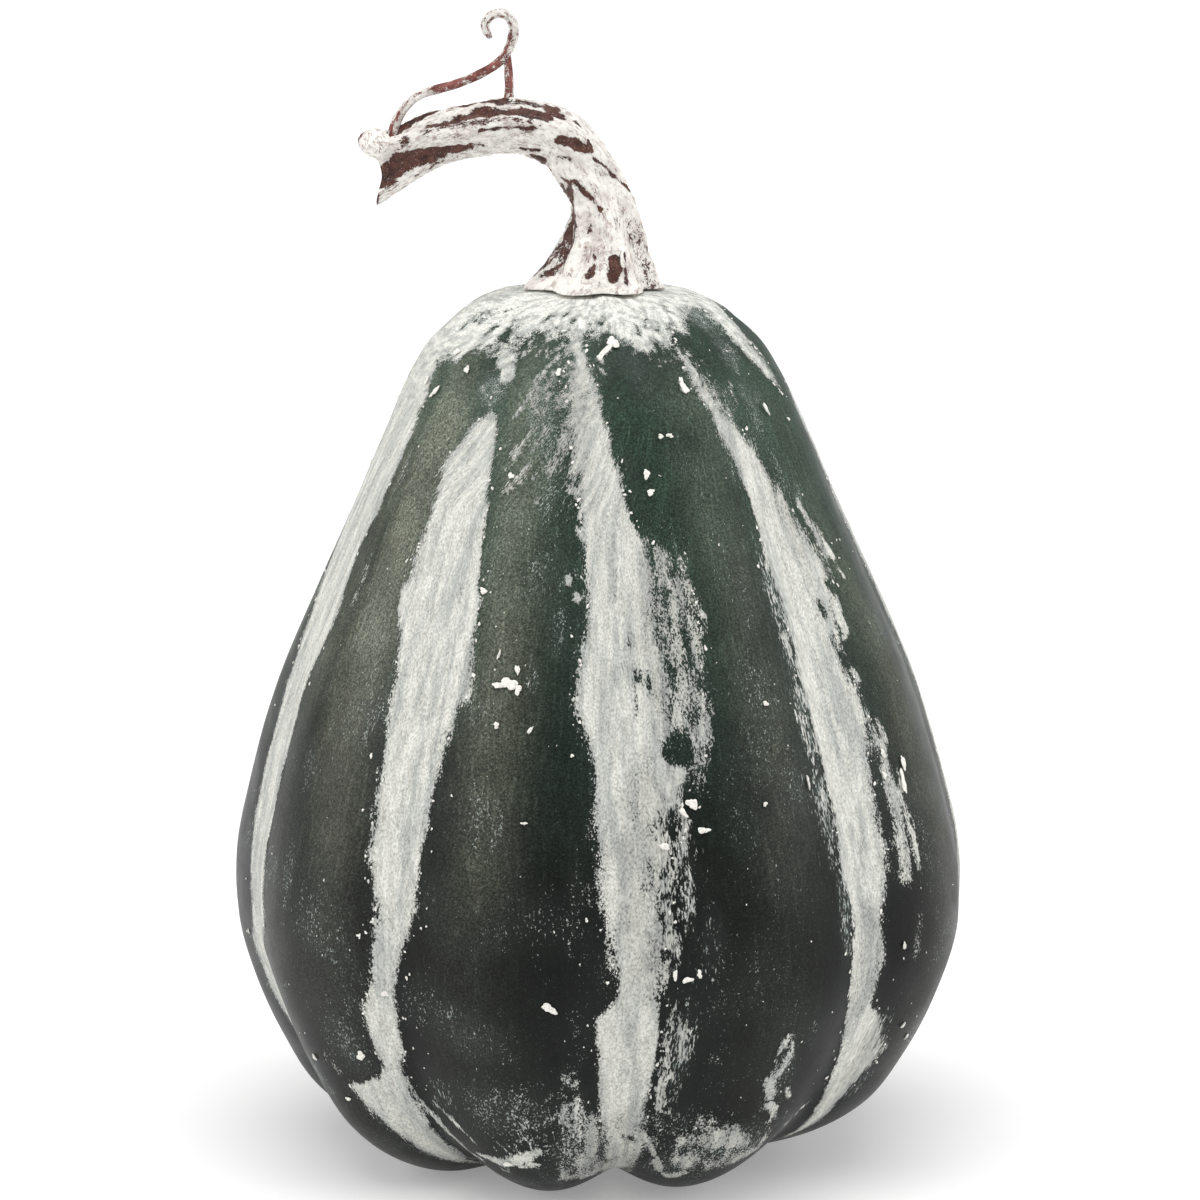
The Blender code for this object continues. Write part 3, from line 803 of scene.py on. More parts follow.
def evenly_spaced(curve, count):
    """Points at equal distances along the curve, and how far along it each is, from 0 to 1."""
    lengths = run_lengths(curve)
    places = np.linspace(0, 1, count)
    columns = [np.interp(places * lengths[-1], lengths, column) for column in curve.T]
    return np.stack(columns, axis=-1), places


def graph(points, at):
    """The broken line through the points, read at the given values."""
    xs, ys = np.asarray(points, float).T
    return np.interp(at, xs, ys)


def turned(azimuth, middle):
    """Degrees from the middle to the azimuth, the short way round."""
    return (np.asarray(azimuth) - middle + 180) % 360 - 180


def ripple(azimuth, down, seed, waves, per_turn, per_metre):
    """Smooth wandering between about -1 and 1 that closes round the body.

    It is a sum of plane waves. Each has a whole number of crests per turn up to per_turn, a number of
    crests per metre down the skin up to per_metre, and a phase of its own, all drawn from the seed.
    """
    draw = np.random.default_rng(seed)
    total = 0.0
    for _ in range(waves):
        around = draw.integers(1, per_turn + 1) * draw.choice((-1, 1))
        along = draw.uniform(-per_metre, per_metre)
        total = total + np.sin(np.radians(azimuth) * around + 2 * np.pi * (down * along + draw.random()))
    return total * np.sqrt(2 / waves) / 2


CREST = smooth_curve(CREST_OUTLINE)
CREST_DOWN = run_lengths(CREST)


def crown_height(radius):
    """Height of the body's crown at a distance from its middle."""
    crown = smooth_curve(CREST_OUTLINE[:6])
    return np.interp(radius, crown[:, 0], crown[:, 1])


def body_surface(down, azimuth, out=0.0):
    """The body's surface: the crest outline turned about the spine, and drawn in at the grooves.

    The reach is radius * (1 - depth * (1 - full)), where full swells from the groove to the crest as a
    rounded sine, and out is added to it. Near the ground the grooves rise by (1 - full) and some lobes lift,
    and what is below the ground is flat.
    """
    radius = np.interp(down, CREST_DOWN, CREST[:, 0])
    height = np.interp(down, CREST_DOWN, CREST[:, 1])
    starts = np.array(GROOVES)
    ends = np.append(starts[1:], starts[0] + 360)
    around = (azimuth - starts[0]) % 360 + starts[0]
    lobe = np.searchsorted(starts, around, side="right") - 1
    swell = np.sin(np.pi * (around - starts[lobe]) / (ends - starts)[lobe])
    full = np.sqrt((swell**2 + GROOVE_ROUNDING**2) / (1 + GROOVE_ROUNDING**2))
    reach = radius * (1 - graph(GROOVE_DEPTH, height) * (1 - full)) + out * np.clip(radius / 0.03, 0, 1)
    rise = GROOVE_RISE * (1 - full) * np.clip(1 - height / GROOVE_RISE_TOP, 0, 1.05) ** 1.5
    rise = rise * np.clip(radius / GROOVE_RISE_RADIUS, 0, 1) ** 2
    lift = np.array(LOBE_LIFT)[lobe] * swell * np.clip(1 - height / LOBE_LIFT_TOP, 0, 1) ** 1.5
    lifted = height + rise + lift
    middle = graph(BODY_SPINE, lifted)
    lifted = np.maximum(lifted + out * np.clip((lifted - 0.24) / 0.05, 0, 1), 0)
    angle = np.radians(azimuth)
    return np.stack([middle + reach * np.sin(angle), -reach * np.cos(angle), lifted], axis=-1)


def stripe_level(down, azimuth, radius, stations):
    """How full the paint is across a stripe, 0 on its edges and below 0 outside them.

    It is the distance inside the nearer edge over that edge's broken width, and counts double inside.
    """
    table = np.array(stations, float)
    reading = [np.interp(down, table[:, 0] * MM, column) for column in table[:, 1:].T]
    left, right, left_break, right_break = reading
    middle = (left + right) / 2
    offset = turned(azimuth, middle)
    inside_left = np.radians(offset + (right - left) / 2) * radius / (left_break * BREAK_SCALE * MM)
    inside_right = np.radians((right - left) / 2 - offset) * radius / (right_break * BREAK_SCALE * MM)
    level = np.minimum(inside_left, inside_right)
    return np.where(level > 0, 2.0 * level, level)


def back_stripe(middle, half_width, start, end, seed):
    """Stations for a stripe that isn't seen in front: its edges wander as seeded sums of sines."""
    draw = np.random.default_rng(seed)
    stations = []
    phases = draw.uniform(0, 2 * np.pi, 6)
    for down in np.linspace(start, end, 24):
        share = (down - start) / (end - start)
        taper = min(1.0, 7 * share, 5 * (1 - share)) * 1.25 - 0.25
        left_wave = 0.34 * np.sin(down / 19 + phases[0])
        left = half_width * (taper + left_wave + 0.16 * np.sin(down / 7 + phases[1]))
        right_wave = 0.42 * np.sin(down / 27 + phases[2])
        right = half_width * (taper + right_wave + 0.18 * np.sin(down / 8 + phases[3]))
        ragged = 2.0 + 1.0 * np.sin(down / 30 + phases[4])
        broken = 3.8 + 2.8 * np.sin(down / 26 + phases[5])
        stations.append((down, middle - left, middle + right, ragged, broken))
    return tuple(stations)


def smear_distance(down, azimuth, radius, place):
    """Distance from a smear's middle, 1 on the edge of its leaning ellipse."""
    middle_down, middle_azimuth, length, width, lean = place
    along = (down - middle_down * MM) / MM
    across = np.radians(turned(azimuth, middle_azimuth)) * radius / MM
    turn = np.radians(lean)
    return np.hypot(
        (along * np.cos(turn) - across * np.sin(turn)) / length,
        (along * np.sin(turn) + across * np.cos(turn)) / width,
    )


def stroke_distance(along, angle, reach, stations):
    """Distance in mm to the edge of a stroke that runs through the stations, below 0 inside it.

    The surface is unrolled: along is in mm, and angles count as arcs at the local reach.
    """
    nearest = np.full_like(along, np.inf)
    for start, end in zip(stations, stations[1:]):
        across = np.radians(turned(angle, start[1])) * reach / MM
        step_along = end[0] - start[0]
        step_across = np.radians(end[1] - start[1]) * reach / MM
        dot = (along - start[0]) * step_along + across * step_across
        share = np.clip(dot / (step_along**2 + step_across**2), 0, 1)
        away = np.hypot(along - start[0] - share * step_along, across - share * step_across)
        nearest = np.minimum(nearest, away - (start[2] + share * (end[2] - start[2])))
    return nearest


def whitewash(down, azimuth, radius):
    """The fullness and the haze of the whitewash all over the body.

    Fullness is 1 where the paint is solid, 0 where half of it is broken away and -1 where it has all but
    gone. It starts as the highest of the crown's, the stripes', the smears' and the strokes'. The lifted
    strokes then lower it, the scratches lower it where their fullness is below 0 and raise it elsewhere, and
    the drop rings do both. Haze is the strength of the thin film, from 0 to 1: a little in seeded patches
    all over, some beside every edge, and more in the hazy smears.
    """
    crown_edge = np.interp(turned(azimuth, 0), *np.array(CROWN_EDGE, float).T) * MM
    crown_edge = crown_edge + 0.004 + 0.004 * ripple(azimuth, down, 61, 18, 40, 8)
    level = np.minimum((crown_edge - down) / (CROWN_BREAK * MM), 1.5)
    stripes = [*FRONT_STRIPES, *(back_stripe(*facts) for facts in BACK_STRIPES)]
    for stations in stripes:
        level = np.maximum(level, stripe_level(down, azimuth, radius, stations))
    haze = np.clip(0.16 + 0.27 * ripple(azimuth, down, 71, 30, 24, 30), 0.0, 0.46)
    for *place, fullness, film in SMEARS:
        inside = 1.15 - smear_distance(down, azimuth, radius, place)
        level = np.maximum(level, -1.6 + (fullness + 1.6) * np.clip(inside * 1.6, -1, 1))
        haze = np.maximum(haze, np.clip(inside * 1.3, 0, 1) * film)
    for fullness, broken, *stations in PAINT_STROKES:
        inside = -stroke_distance(down / MM, azimuth, radius, stations) / broken
        level = np.maximum(level, np.minimum(fullness, inside))
    for left, broken, *stations in LIFTED_STROKES:
        outside = stroke_distance(down / MM, azimuth, radius, stations) / broken
        level = np.minimum(level, np.maximum(left, outside))
    for seed, count, fullness, downs, azimuths, lengths in SCRATCHES:
        draw = np.random.default_rng(seed)
        for _ in range(count):
            start, bearing, length = draw.uniform(*downs), draw.uniform(*azimuths), draw.uniform(*lengths)
            turn = np.radians(draw.normal(*SCRATCH_LEAN))
            across = np.degrees(length * np.sin(turn) * MM / np.interp(start * MM, CREST_DOWN, CREST[:, 0]))
            foot = (start, bearing, SCRATCH_WIDTHS[0])
            tip = (start - length * np.cos(turn), bearing + across, SCRATCH_WIDTHS[1])
            away = stroke_distance(down / MM, azimuth, radius, (foot, tip)) / SCRATCH_BREAK
            if fullness < 0:
                level = np.minimum(level, np.maximum(fullness, away))
            else:
                level = np.maximum(level, np.minimum(fullness, -away))
    for middle_down, middle_azimuth, hole, rim, depth in DROP_RINGS:
        place = (middle_down, middle_azimuth, 1.0, 1.0, 0.0)
        distance = smear_distance(down, azimuth, radius, place)
        level = np.maximum(level, 0.55 - 1.3 * abs(distance - rim) / (rim - hole))
        level = level - (level + 0.95) * depth * np.clip((hole + 0.6 - distance) / 1.2, 0, 1)
    level = np.clip(level, -1.8, 1.5)
    return level, np.maximum(haze, 0.3 * np.clip(1 + level / 2.4, 0, 1) ** 1.6)


def soft_patches(down, azimuth, radius, places):
    """1 within the upright ellipses of the places, falling to 0 a little way outside them."""
    share = np.zeros_like(azimuth)
    for place in places:
        distance = smear_distance(down, azimuth, radius, (*place, 0.0))
        share = np.maximum(share, np.clip((1.4 - distance) * 2, 0, 1))
    return share


def bronze_and_sheen(down, azimuth):
    """Strength of the bronze overspray and painted sheen: a soft band along each lobe that fades at the crown
    and low down.
    """
    strength = np.zeros_like(azimuth)
    for crest, width, high, low in BRONZE_AND_SHEEN_BANDS:
        wander = 2.0 * np.sin(down / 0.05 + crest)
        across = turned(azimuth, crest + wander) / width
        along = np.interp(down, (0.05, 0.09, 0.16, 0.24, 0.30, 0.36), (0.2, 0.9, 1.0, 1.0, 0.6, 0.2))
        share = np.interp(down, (0.10, 0.24), (high, low))
        strength = np.maximum(strength, share * along * np.exp(-(across**2)))
    return strength * (1 + 0.35 * ripple(azimuth, down, 21, 14, 26, 22))


def grid_mesh(name, points, closed_ends=True):
    """A mesh over a grid of points whose columns run round, with a fan over each closed end."""
    rows, columns = points.shape[:2]
    index = np.arange(rows * columns).reshape(rows, columns)
    beside = np.roll(index, -1, axis=1)
    quads = np.stack([index[:-1], index[1:], beside[1:], beside[:-1]], axis=-1).reshape(-1, 4)
    vertices = points.reshape(-1, 3)
    faces = quads.tolist()
    if closed_ends:
        vertices = np.vstack([vertices, points[0].mean(axis=0), points[-1].mean(axis=0)])
        top, bottom = rows * columns, rows * columns + 1
        faces += np.stack([np.full(columns, top), index[0], beside[0]], axis=-1).tolist()
        faces += np.stack([np.full(columns, bottom), beside[-1], index[-1]], axis=-1).tolist()
    mesh = bpy.data.meshes.new(name)
    mesh.from_pydata(vertices.tolist(), [], faces)
    mesh.shade_smooth()
    return mesh


def per_point(mesh, name, values):
    """Stores a value or vector for each point of the grid, with the row's mean on the two closing points."""
    flat = values.reshape(-1, *values.shape[2:])
    spare = len(mesh.vertices) - len(flat)
    if spare:
        flat = np.concatenate([flat, values[:1].mean(axis=1), values[-1:].mean(axis=1)])
    kind, slot = ("FLOAT_VECTOR", "vector") if values.ndim == 3 else ("FLOAT", "value")
    attribute = mesh.attributes.new(name, kind, "POINT")
    attribute.data.foreach_set(slot, flat.astype(np.float32).ravel())


def as_piece(mesh, material, slot, *replaced):
    """Puts the mesh into the scene as a piece on the part's body, in place of the named solids."""
    piece = bpy.data.objects.new(mesh.name, mesh)
    mesh.materials.append(material)
    bpy.context.scene.collection.objects.link(piece)
    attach(piece, "root")
    if replaced:
        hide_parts(*replaced)
    return piece


class Recipe:
    """A node tree that is written as formulas: each call adds a node and gives back its output."""

    def __init__(self, tree):
        self.tree = tree

    def add(self, kind, inputs=(), **settings):
        made = self.tree.nodes.new(kind)
        for name, value in settings.items():
            setattr(made, name, value)
        for key, value in dict(inputs).items():
            socket = made.inputs[key]
            if isinstance(value, bpy.types.NodeSocket):
                self.tree.links.new(value, socket)
            else:
                socket.default_value = value
        return made

    def maths(self, operation, *values, clamp=False):
        made = self.add("ShaderNodeMath", enumerate(values), operation=operation, use_clamp=clamp)
        return made.outputs[0]

    def blend(self, share, first, second, mode="MIX"):
        """First where the share is 0, and second where it is 1. Both are colours."""
        inputs = {0: share, 6: first, 7: second}
        made = self.add("ShaderNodeMix", inputs, data_type="RGBA", blend_type=mode, clamp_factor=True)
        return made.outputs[2]

    def between(self, share, first, second):
        """First where the share is 0, and second where it is 1. Both are numbers."""
        inputs = {0: share, 2: first, 3: second}
        made = self.add("ShaderNodeMix", inputs, data_type="FLOAT", clamp_factor=True)
        return made.outputs[0]

    def ramp(self, value, low, high, to_low=0.0, to_high=1.0, kind="SMOOTHSTEP"):
        """Rises from to_low at low to to_high at high, and is level beyond."""
        inputs = {0: value, 1: low, 2: high, 3: to_low, 4: to_high}
        return self.add("ShaderNodeMapRange", inputs, interpolation_type=kind, clamp=True).outputs[0]

    def noise(self, place, scale, detail=3.0, roughness=0.5):
        inputs = {"Vector": place, "Scale": scale, "Detail": detail, "Roughness": roughness}
        return self.add("ShaderNodeTexNoise", inputs).outputs["Fac"]

    def stored(self, name, vector=False):
        made = self.add("ShaderNodeAttribute", attribute_name=name)
        return made.outputs["Vector" if vector else "Fac"]

    def place(self, scale=(1, 1, 1)):
        """The point on the piece, stretched by the scale."""
        where = self.add("ShaderNodeTexCoord").outputs["Object"]
        return self.add("ShaderNodeMapping", {"Vector": where, "Scale": scale}).outputs[0]


def new_group(name, inputs, outputs):
    """A node group with named sockets, and the recipe and the two end nodes to fill it in with."""
    group = bpy.data.node_groups.new(name, "ShaderNodeTree")
    for label, kind, default in inputs:
        socket = group.interface.new_socket(label, in_out="INPUT", socket_type=kind)
        if default is not None:
            socket.default_value = default
    for label, kind in outputs:
        group.interface.new_socket(label, in_out="OUTPUT", socket_type=kind)
    recipe = Recipe(group)
    given = recipe.add("NodeGroupInput").outputs
    result = recipe.add("NodeGroupOutput").inputs
    return group, recipe, given, result


def broken_paint_group():
    """Whitewash that breaks up into clumps, stipple and brush lines where it runs out.

    Cover is a steep ramp of level + clumps + grain, the last two being noises about 0 and Grain Share the
    strength of the grain. Body is a softer ramp of the same sum, for the paint's thickness. Film is fine
    flecks where there is haze, and Streak is a slow noise for how thin the brush left the paint.
    """
    group, make, given, result = new_group(
        "broken_paint",
        (
            ("Level", "NodeSocketFloat", 0.0),
            ("Haze", "NodeSocketFloat", 0.0),
            ("Strokes", "NodeSocketVector", None),
            ("Lines", "NodeSocketFloat", 0.0),
            ("Clump Size", "NodeSocketFloat", 0.004),
            ("Grain Size", "NodeSocketFloat", 0.0008),
            ("Raggedness", "NodeSocketFloat", 1.0),
            ("Grain Share", "NodeSocketFloat", 1.15),
        ),
        (
            ("Cover", "NodeSocketFloat"),
            ("Body", "NodeSocketFloat"),
            ("Film", "NodeSocketFloat"),
            ("Streak", "NodeSocketFloat"),
            ("Grain", "NodeSocketFloat"),
        ),
    )
    clump_scale = make.maths("DIVIDE", 1.0, given["Clump Size"])
    grain_scale = make.maths("DIVIDE", 1.0, given["Grain Size"])
    short_strokes = make.add("ShaderNodeMapping", {"Vector": given["Strokes"], "Scale": (1, 1, 5)}).outputs[0]
    drawn_out = make.add("ShaderNodeMapping", {"Vector": given["Strokes"], "Scale": (1, 1, 3)}).outputs[0]
    clumps = make.noise(drawn_out, clump_scale, 5.0, 0.72)
    grain = make.noise(short_strokes, grain_scale, 3.0, 0.7)
    long_strokes = make.add("ShaderNodeMapping", {"Vector": given["Strokes"], "Scale": (1, 1, 2)}).outputs[0]
    lines = make.noise(long_strokes, grain_scale, 3.0, 0.7)
    fine = make.between(given["Lines"], grain, lines)
    strength = make.maths("MULTIPLY", given["Raggedness"], 4.0)
    clumped = make.maths("MULTIPLY", make.maths("SUBTRACT", clumps, 0.5), strength)
    about_zero = make.maths("SUBTRACT", fine, 0.5)
    grain_strength = make.maths("MULTIPLY", strength, given["Grain Share"])
    grained = make.maths("MULTIPLY", about_zero, grain_strength)
    total = make.maths("ADD", make.maths("ADD", given["Level"], clumped), grained)
    streak = make.noise(given["Strokes"], make.maths("MULTIPLY", clump_scale, 1.2), 4.0, 0.6)
    make.tree.links.new(make.ramp(total, -0.10, 0.16), result["Cover"])
    make.tree.links.new(make.ramp(total, -0.2, 1.5), result["Body"])
    specks = make.maths("MULTIPLY", about_zero, make.maths("MULTIPLY", strength, 1.15))
    flecks = make.maths("ADD", make.maths("MULTIPLY", clumped, 0.4), specks)
    flecks = make.maths("ADD", flecks, make.maths("MULTIPLY", given["Haze"], 1.5))
    veil = make.maths("MULTIPLY", given["Haze"], 0.05)
    film = make.maths("ADD", make.ramp(flecks, 1.05, 1.50, 0.0, 0.8), veil)
    make.tree.links.new(film, result["Film"])
    make.tree.links.new(streak, result["Streak"])
    make.tree.links.new(fine, result["Grain"])
    return group


def paint_body_material(group):
    """Satin green, darker below, dusted with bronze and painted sheen along the lobes, under broken
    whitewash.
    """
    material = bpy.data.materials.new("green_and_whitewash")
    material.use_nodes = True
    make = Recipe(material.node_tree)
    shader = material.node_tree.nodes["Principled BSDF"]
    place = make.place()
    strokes = make.stored("strokes", vector=True)
    level = make.stored("level")
    lines = make.stored("lines")
    height = make.stored("down")

    paint = make.add("ShaderNodeGroup", {}, node_tree=group)
    for key, value in {"Clump Size": 0.0050, "Grain Size": 0.0006, "Grain Share": 0.85}.items():
        paint.inputs[key].default_value = value
    worn_and_shaded = make.stored("worn_and_shaded")
    raggedness = make.ramp(worn_and_shaded, 0.0, 1.0, 1.1, 1.8)
    fields = {
        "Level": level,
        "Haze": make.stored("haze"),
        "Strokes": strokes,
        "Lines": lines,
        "Raggedness": raggedness,
    }
    for key, value in fields.items():
        make.tree.links.new(value, paint.inputs[key])
    outputs = ("Cover", "Body", "Film", "Streak", "Grain")
    cover, body, film, streak, speckle = (paint.outputs[key] for key in outputs)

    # Green, lighter at the shoulder and near black low down, with clouds, grain and brushed hairs in it.
    low = make.ramp(height, 0.05, 0.27)
    green = make.blend(low, tone(43, 58, 48), tone(11, 14, 12))
    # The spray tone is lighter at the top, and its bands are bronze overspray and painted sheen on the lobes
    # together.
    spray_and_sheen_tone = make.blend(low, tone(122, 125, 110), tone(54, 55, 48))
    dust = make.ramp(make.noise(place, 900.0, 3.0, 0.7), 0.30, 0.66)
    sprayed_and_sheen = make.maths("MULTIPLY", make.stored("bronze_and_sheen"), make.maths("ADD", 0.5, dust))
    green = make.blend(make.maths("MULTIPLY", sprayed_and_sheen, 1.0, clamp=True), green, spray_and_sheen_tone)
    cloud = make.ramp(make.noise(place, 17.0, 4.0, 0.6), 0.34, 0.66, 1.34, 0.64)
    green = make.blend(1.0, green, cloud, mode="MULTIPLY")
    grain = make.ramp(make.noise(place, 1500.0, 2.0, 0.6), 0.34, 0.74, 0.62, 2.0)
    green = make.blend(1.0, green, grain, mode="MULTIPLY")
    hair = make.ramp(make.noise(strokes, 700.0, 2.0, 0.5), 0.50, 0.76, 0.95, 1.6)
    green = make.blend(1.0, green, hair, mode="MULTIPLY")

    # Whitewash: pale flecks where it is a haze, cream where it is thick, greyer where it was left thin.
    green = make.blend(film, green, tone(170, 180, 174))
    faint = make.ramp(make.maths("ADD", streak, make.maths("MULTIPLY", body, -0.10)), 0.30, 0.58)
    # The cream is painted whiter on the crown than lower down: painted light from above.
    painted_top_light = make.ramp(height, 0.04, 0.075)
    cream = make.blend(painted_top_light, tone(240, 240, 233), tone(216, 216, 208))
    cream = make.blend(faint, cream, tone(184, 186, 182))
    drawn_out = make.add("ShaderNodeMapping", {"Vector": strokes, "Scale": (1, 1, 3)}).outputs[0]
    dapple = make.noise(drawn_out, 330.0, 4.0, 0.7)
    cream = make.blend(1.0, cream, make.ramp(dapple, 0.36, 0.64, 0.86, 1.05), mode="MULTIPLY")
    cream = make.blend(1.0, cream, make.ramp(speckle, 0.36, 0.62, 0.74, 1.10), mode="MULTIPLY")
    # The worn places also darken the cream: wear, and painted shade where the centre groove's shadow falls.
    cream = make.blend(1.0, cream, make.ramp(worn_and_shaded, 0.0, 1.0, 1.0, 0.82), mode="MULTIPLY")
    depth = make.ramp(body, 0.02, 0.5, 0.74, 0.98)
    share = make.maths("MULTIPLY", cover, depth)
    colour = make.blend(share, green, cream)
    make.tree.links.new(colour, shader.inputs["Base Color"])

    satin = make.ramp(make.noise(place, 60.0, 3.0, 0.6), 0.3, 0.7, 0.34, 0.44)
    rough = make.between(share, satin, 0.72)
    make.tree.links.new(rough, shader.inputs["Roughness"])
    relief = make.maths("MULTIPLY", cover, make.maths("ADD", 0.35, body))
    relief = make.maths("ADD", relief, make.maths("MULTIPLY", streak, make.maths("MULTIPLY", cover, 0.8)))
    relief = make.maths("ADD", relief, make.maths("MULTIPLY", grain, 0.06))
    bump = make.add("ShaderNodeBump", {"Height": relief, "Strength": 0.55, "Distance": 0.0005})
    make.tree.links.new(bump.outputs[0], shader.inputs["Normal"])
    shader.inputs["Specular IOR Level"].default_value = 0.13
    return material


def squash_skin(material):
    """The body's skin over its whole grid, with the socket in its crown and the paint's places stored."""
    columns = COLUMNS_PER_LOBE * len(GROOVES)
    starts = np.array(GROOVES)
    ends = np.append(starts[1:], starts[0] + 360)
    share = np.linspace(0, 1, COLUMNS_PER_LOBE, endpoint=False)
    azimuths = (starts[:, None] + (ends - starts)[:, None] * share).ravel()
    rows = np.linspace(SOCKET_RADIUS, CREST_DOWN[-1] - 0.001, BODY_ROWS)
    down, azimuth = np.meshgrid(rows, azimuths, indexing="ij")
    radius = np.interp(down, CREST_DOWN, CREST[:, 0])
    level, haze = whitewash(down, azimuth, radius)
    coat = np.clip(level + 0.3, 0, 1)
    lumps = 0.5 + 0.5 * ripple(azimuth, down, 4, 24, 60, 120)
    wander = SKIN_WANDER * ripple(azimuth, down, 2, 16, 14, 9) - SKIN_WANDER
    out = -SKIN_INSET + wander + coat * (COAT_THICKNESS + COAT_LUMPS * lumps)
    points = body_surface(down, azimuth, out)
    socket_floor = points[:1] - (0, 0, SOCKET_DEPTH)
    grid = np.concatenate([socket_floor, points])
    mesh = grid_mesh("squash_skin", grid)

    def with_socket(values):
        return np.concatenate([values[:1], values])

    per_point(mesh, "level", with_socket(level))
    per_point(mesh, "haze", with_socket(haze))
    per_point(mesh, "lines", with_socket(soft_patches(down, azimuth, radius, LINE_PLACES)))
    per_point(mesh, "worn_and_shaded", with_socket(soft_patches(down, azimuth, radius, WORN_AND_SHADED_PLACES)))
    per_point(mesh, "bronze_and_sheen", with_socket(bronze_and_sheen(down, azimuth)))
    per_point(mesh, "down", with_socket(down))
    # On the crown the brush marks lean to the right going up, most of all in front and to its left.
    share_round = np.exp(-((turned(azimuth, BRUSH_MIDDLE) / BRUSH_SPREAD) ** 2))
    lean = BRUSH_LEAN * share_round * np.clip(BRUSH_END - down, 0, BRUSH_REACH)
    angle = np.radians(azimuth - lean)
    girth = graph(BRUSH_GIRTH, down)
    drawn = graph(BRUSH_DRAWN, down)
    strokes = np.stack([girth * np.sin(angle), girth * np.cos(angle), drawn], axis=-1)
    per_point(mesh, "strokes", with_socket(strokes))
    return as_piece(mesh, material, "green_paint", "squash_body")


def dab_meshes():
    """Thick dabs on the body: flat-topped drops over leaning ellipses with lobed rims.

    The height over the skin is about height * (1 - t**3), where t runs from 0 in the middle to 1 at the rim,
    and the rim's reach wanders by five seeded waves. A last ring under the skin closes each dab. The dabs
    stand at their places. Specks are seeded anywhere on the lobes and chips close to the stripes' edges, and
    both are flatter, have fewer points and are sunk by the skin's inset.
    """
    draw = np.random.default_rng(7)
    places = [(*dab, DAB_HEIGHT) for dab in DABS]
    stripes = [*FRONT_STRIPES, *(back_stripe(*facts) for facts in BACK_STRIPES)]
    for number in range(SPECKS + CHIPS):
        table = np.array(stripes[draw.choice(len(stripes) if number % 2 else 3)])
        down = draw.uniform(table[0, 0], min(table[-1, 0], LOWEST_SPECK))
        side = draw.choice((1, 2))
        chip = number >= SPECKS
        size = draw.uniform(0.16, 0.55) if chip else draw.uniform(0.10, 0.30)
        away = draw.exponential(0.9) if chip else abs(draw.normal(0, 10))
        azimuth = np.interp(down, table[:, 0], table[:, side]) + (away if side == 2 else -away)
        length = size * draw.uniform(0.8, 1.8)
        places.append((down, azimuth, length, size, draw.uniform(-30, 30), SPECK_HEIGHT))
    steps = np.array((0.3, 0.6, 0.8, 0.92, 1.0, 1.0))[:, None]
    rise = np.array((0.97, 0.8, 0.5, 0.25, 0.02, -0.5))[:, None]
    vertices, faces, first = [], [], 0
    for down, azimuth, length, width, lean, height in places:
        small = height == SPECK_HEIGHT
        rim = np.linspace(0, 2 * np.pi, 12 if small else 24, endpoint=False)
        wobble = 1.0
        for waves, size in ((1, 0.14), (2, 0.22), (3, 0.16), (5, 0.10), (7, 0.06)):
            wobble = wobble + size * np.sin(waves * rim + draw.uniform(0, 2 * np.pi))
        turn = np.radians(lean)
        along = steps * wobble * length * np.cos(rim)
        across = steps * wobble * width * np.sin(rim)
        radius = np.interp(down * MM, CREST_DOWN, CREST[:, 0])
        where = down * MM + (along * np.cos(turn) + across * np.sin(turn)) * MM
        bearing = azimuth + np.degrees((across * np.cos(turn) - along * np.sin(turn)) * MM / radius)
        skin = body_surface(where, bearing)
        step = 0.0005
        side = body_surface(where, bearing + np.degrees(step / radius)) - skin
        normal = np.cross(body_surface(where + step, bearing) - skin, side)
        normal /= np.linalg.norm(normal, axis=-1)[..., None]
        lumps = 1 + 0.25 * np.sin(2 * rim + draw.uniform(0, 2 * np.pi))
        sunk = SKIN_INSET if small else 0.0
        points = skin + normal * (rise * lumps * height - sunk)[..., None]
        index = first + np.arange(points.shape[0] * len(rim)).reshape(-1, len(rim))
        beside = np.roll(index, -1, axis=1)
        vertices += [points.reshape(-1, 3), np.stack([points[0].mean(axis=0), points[-1].mean(axis=0)])]
        top, bottom = first + index.size, first + index.size + 1
        faces += np.stack([index[:-1], index[1:], beside[1:], beside[:-1]], axis=-1).reshape(-1, 4).tolist()
        faces += [(top, a, b) for a, b in zip(index[0].tolist(), beside[0].tolist())]
        faces += [(bottom, b, a) for a, b in zip(index[-1].tolist(), beside[-1].tolist())]
        first += index.size + 2
    mesh = bpy.data.meshes.new("whitewash_dabs")
    mesh.from_pydata(np.vstack(vertices).tolist(), [], faces)
    mesh.shade_smooth()
    return mesh


def thick_paint_material():
    """Cream whitewash left thick enough to stand up: soft lumps, and a little grey in its hollows."""
    material = bpy.data.materials.new("thick_whitewash")
    material.use_nodes = True
    make = Recipe(material.node_tree)
    shader = material.node_tree.nodes["Principled BSDF"]
    place = make.place()
    mottle = make.noise(place, 900.0, 3.0, 0.6)
    colour = make.blend(make.ramp(mottle, 0.40, 0.75), tone(238, 236, 228), tone(205, 203, 196))
    make.tree.links.new(colour, shader.inputs["Base Color"])
    bump = make.add("ShaderNodeBump", {"Height": mottle, "Strength": 0.35, "Distance": 0.0004})
    make.tree.links.new(bump.outputs[0], shader.inputs["Normal"])
    shader.inputs["Roughness"].default_value = 0.6
    return material


def ridge_field(angles, place):
    """1 on the crest of a ridge, falling towards 0 in the hollows between."""
    field = 0.0
    for ridge in RIDGES:
        crest = np.radians(np.interp(place, RIDGE_PLACES, ridge))
        field = field + np.exp(4 * RIDGE_SHARPNESS * (np.cos(angles - crest) - 1))
    return np.clip(field, 0, 1) ** 0.25


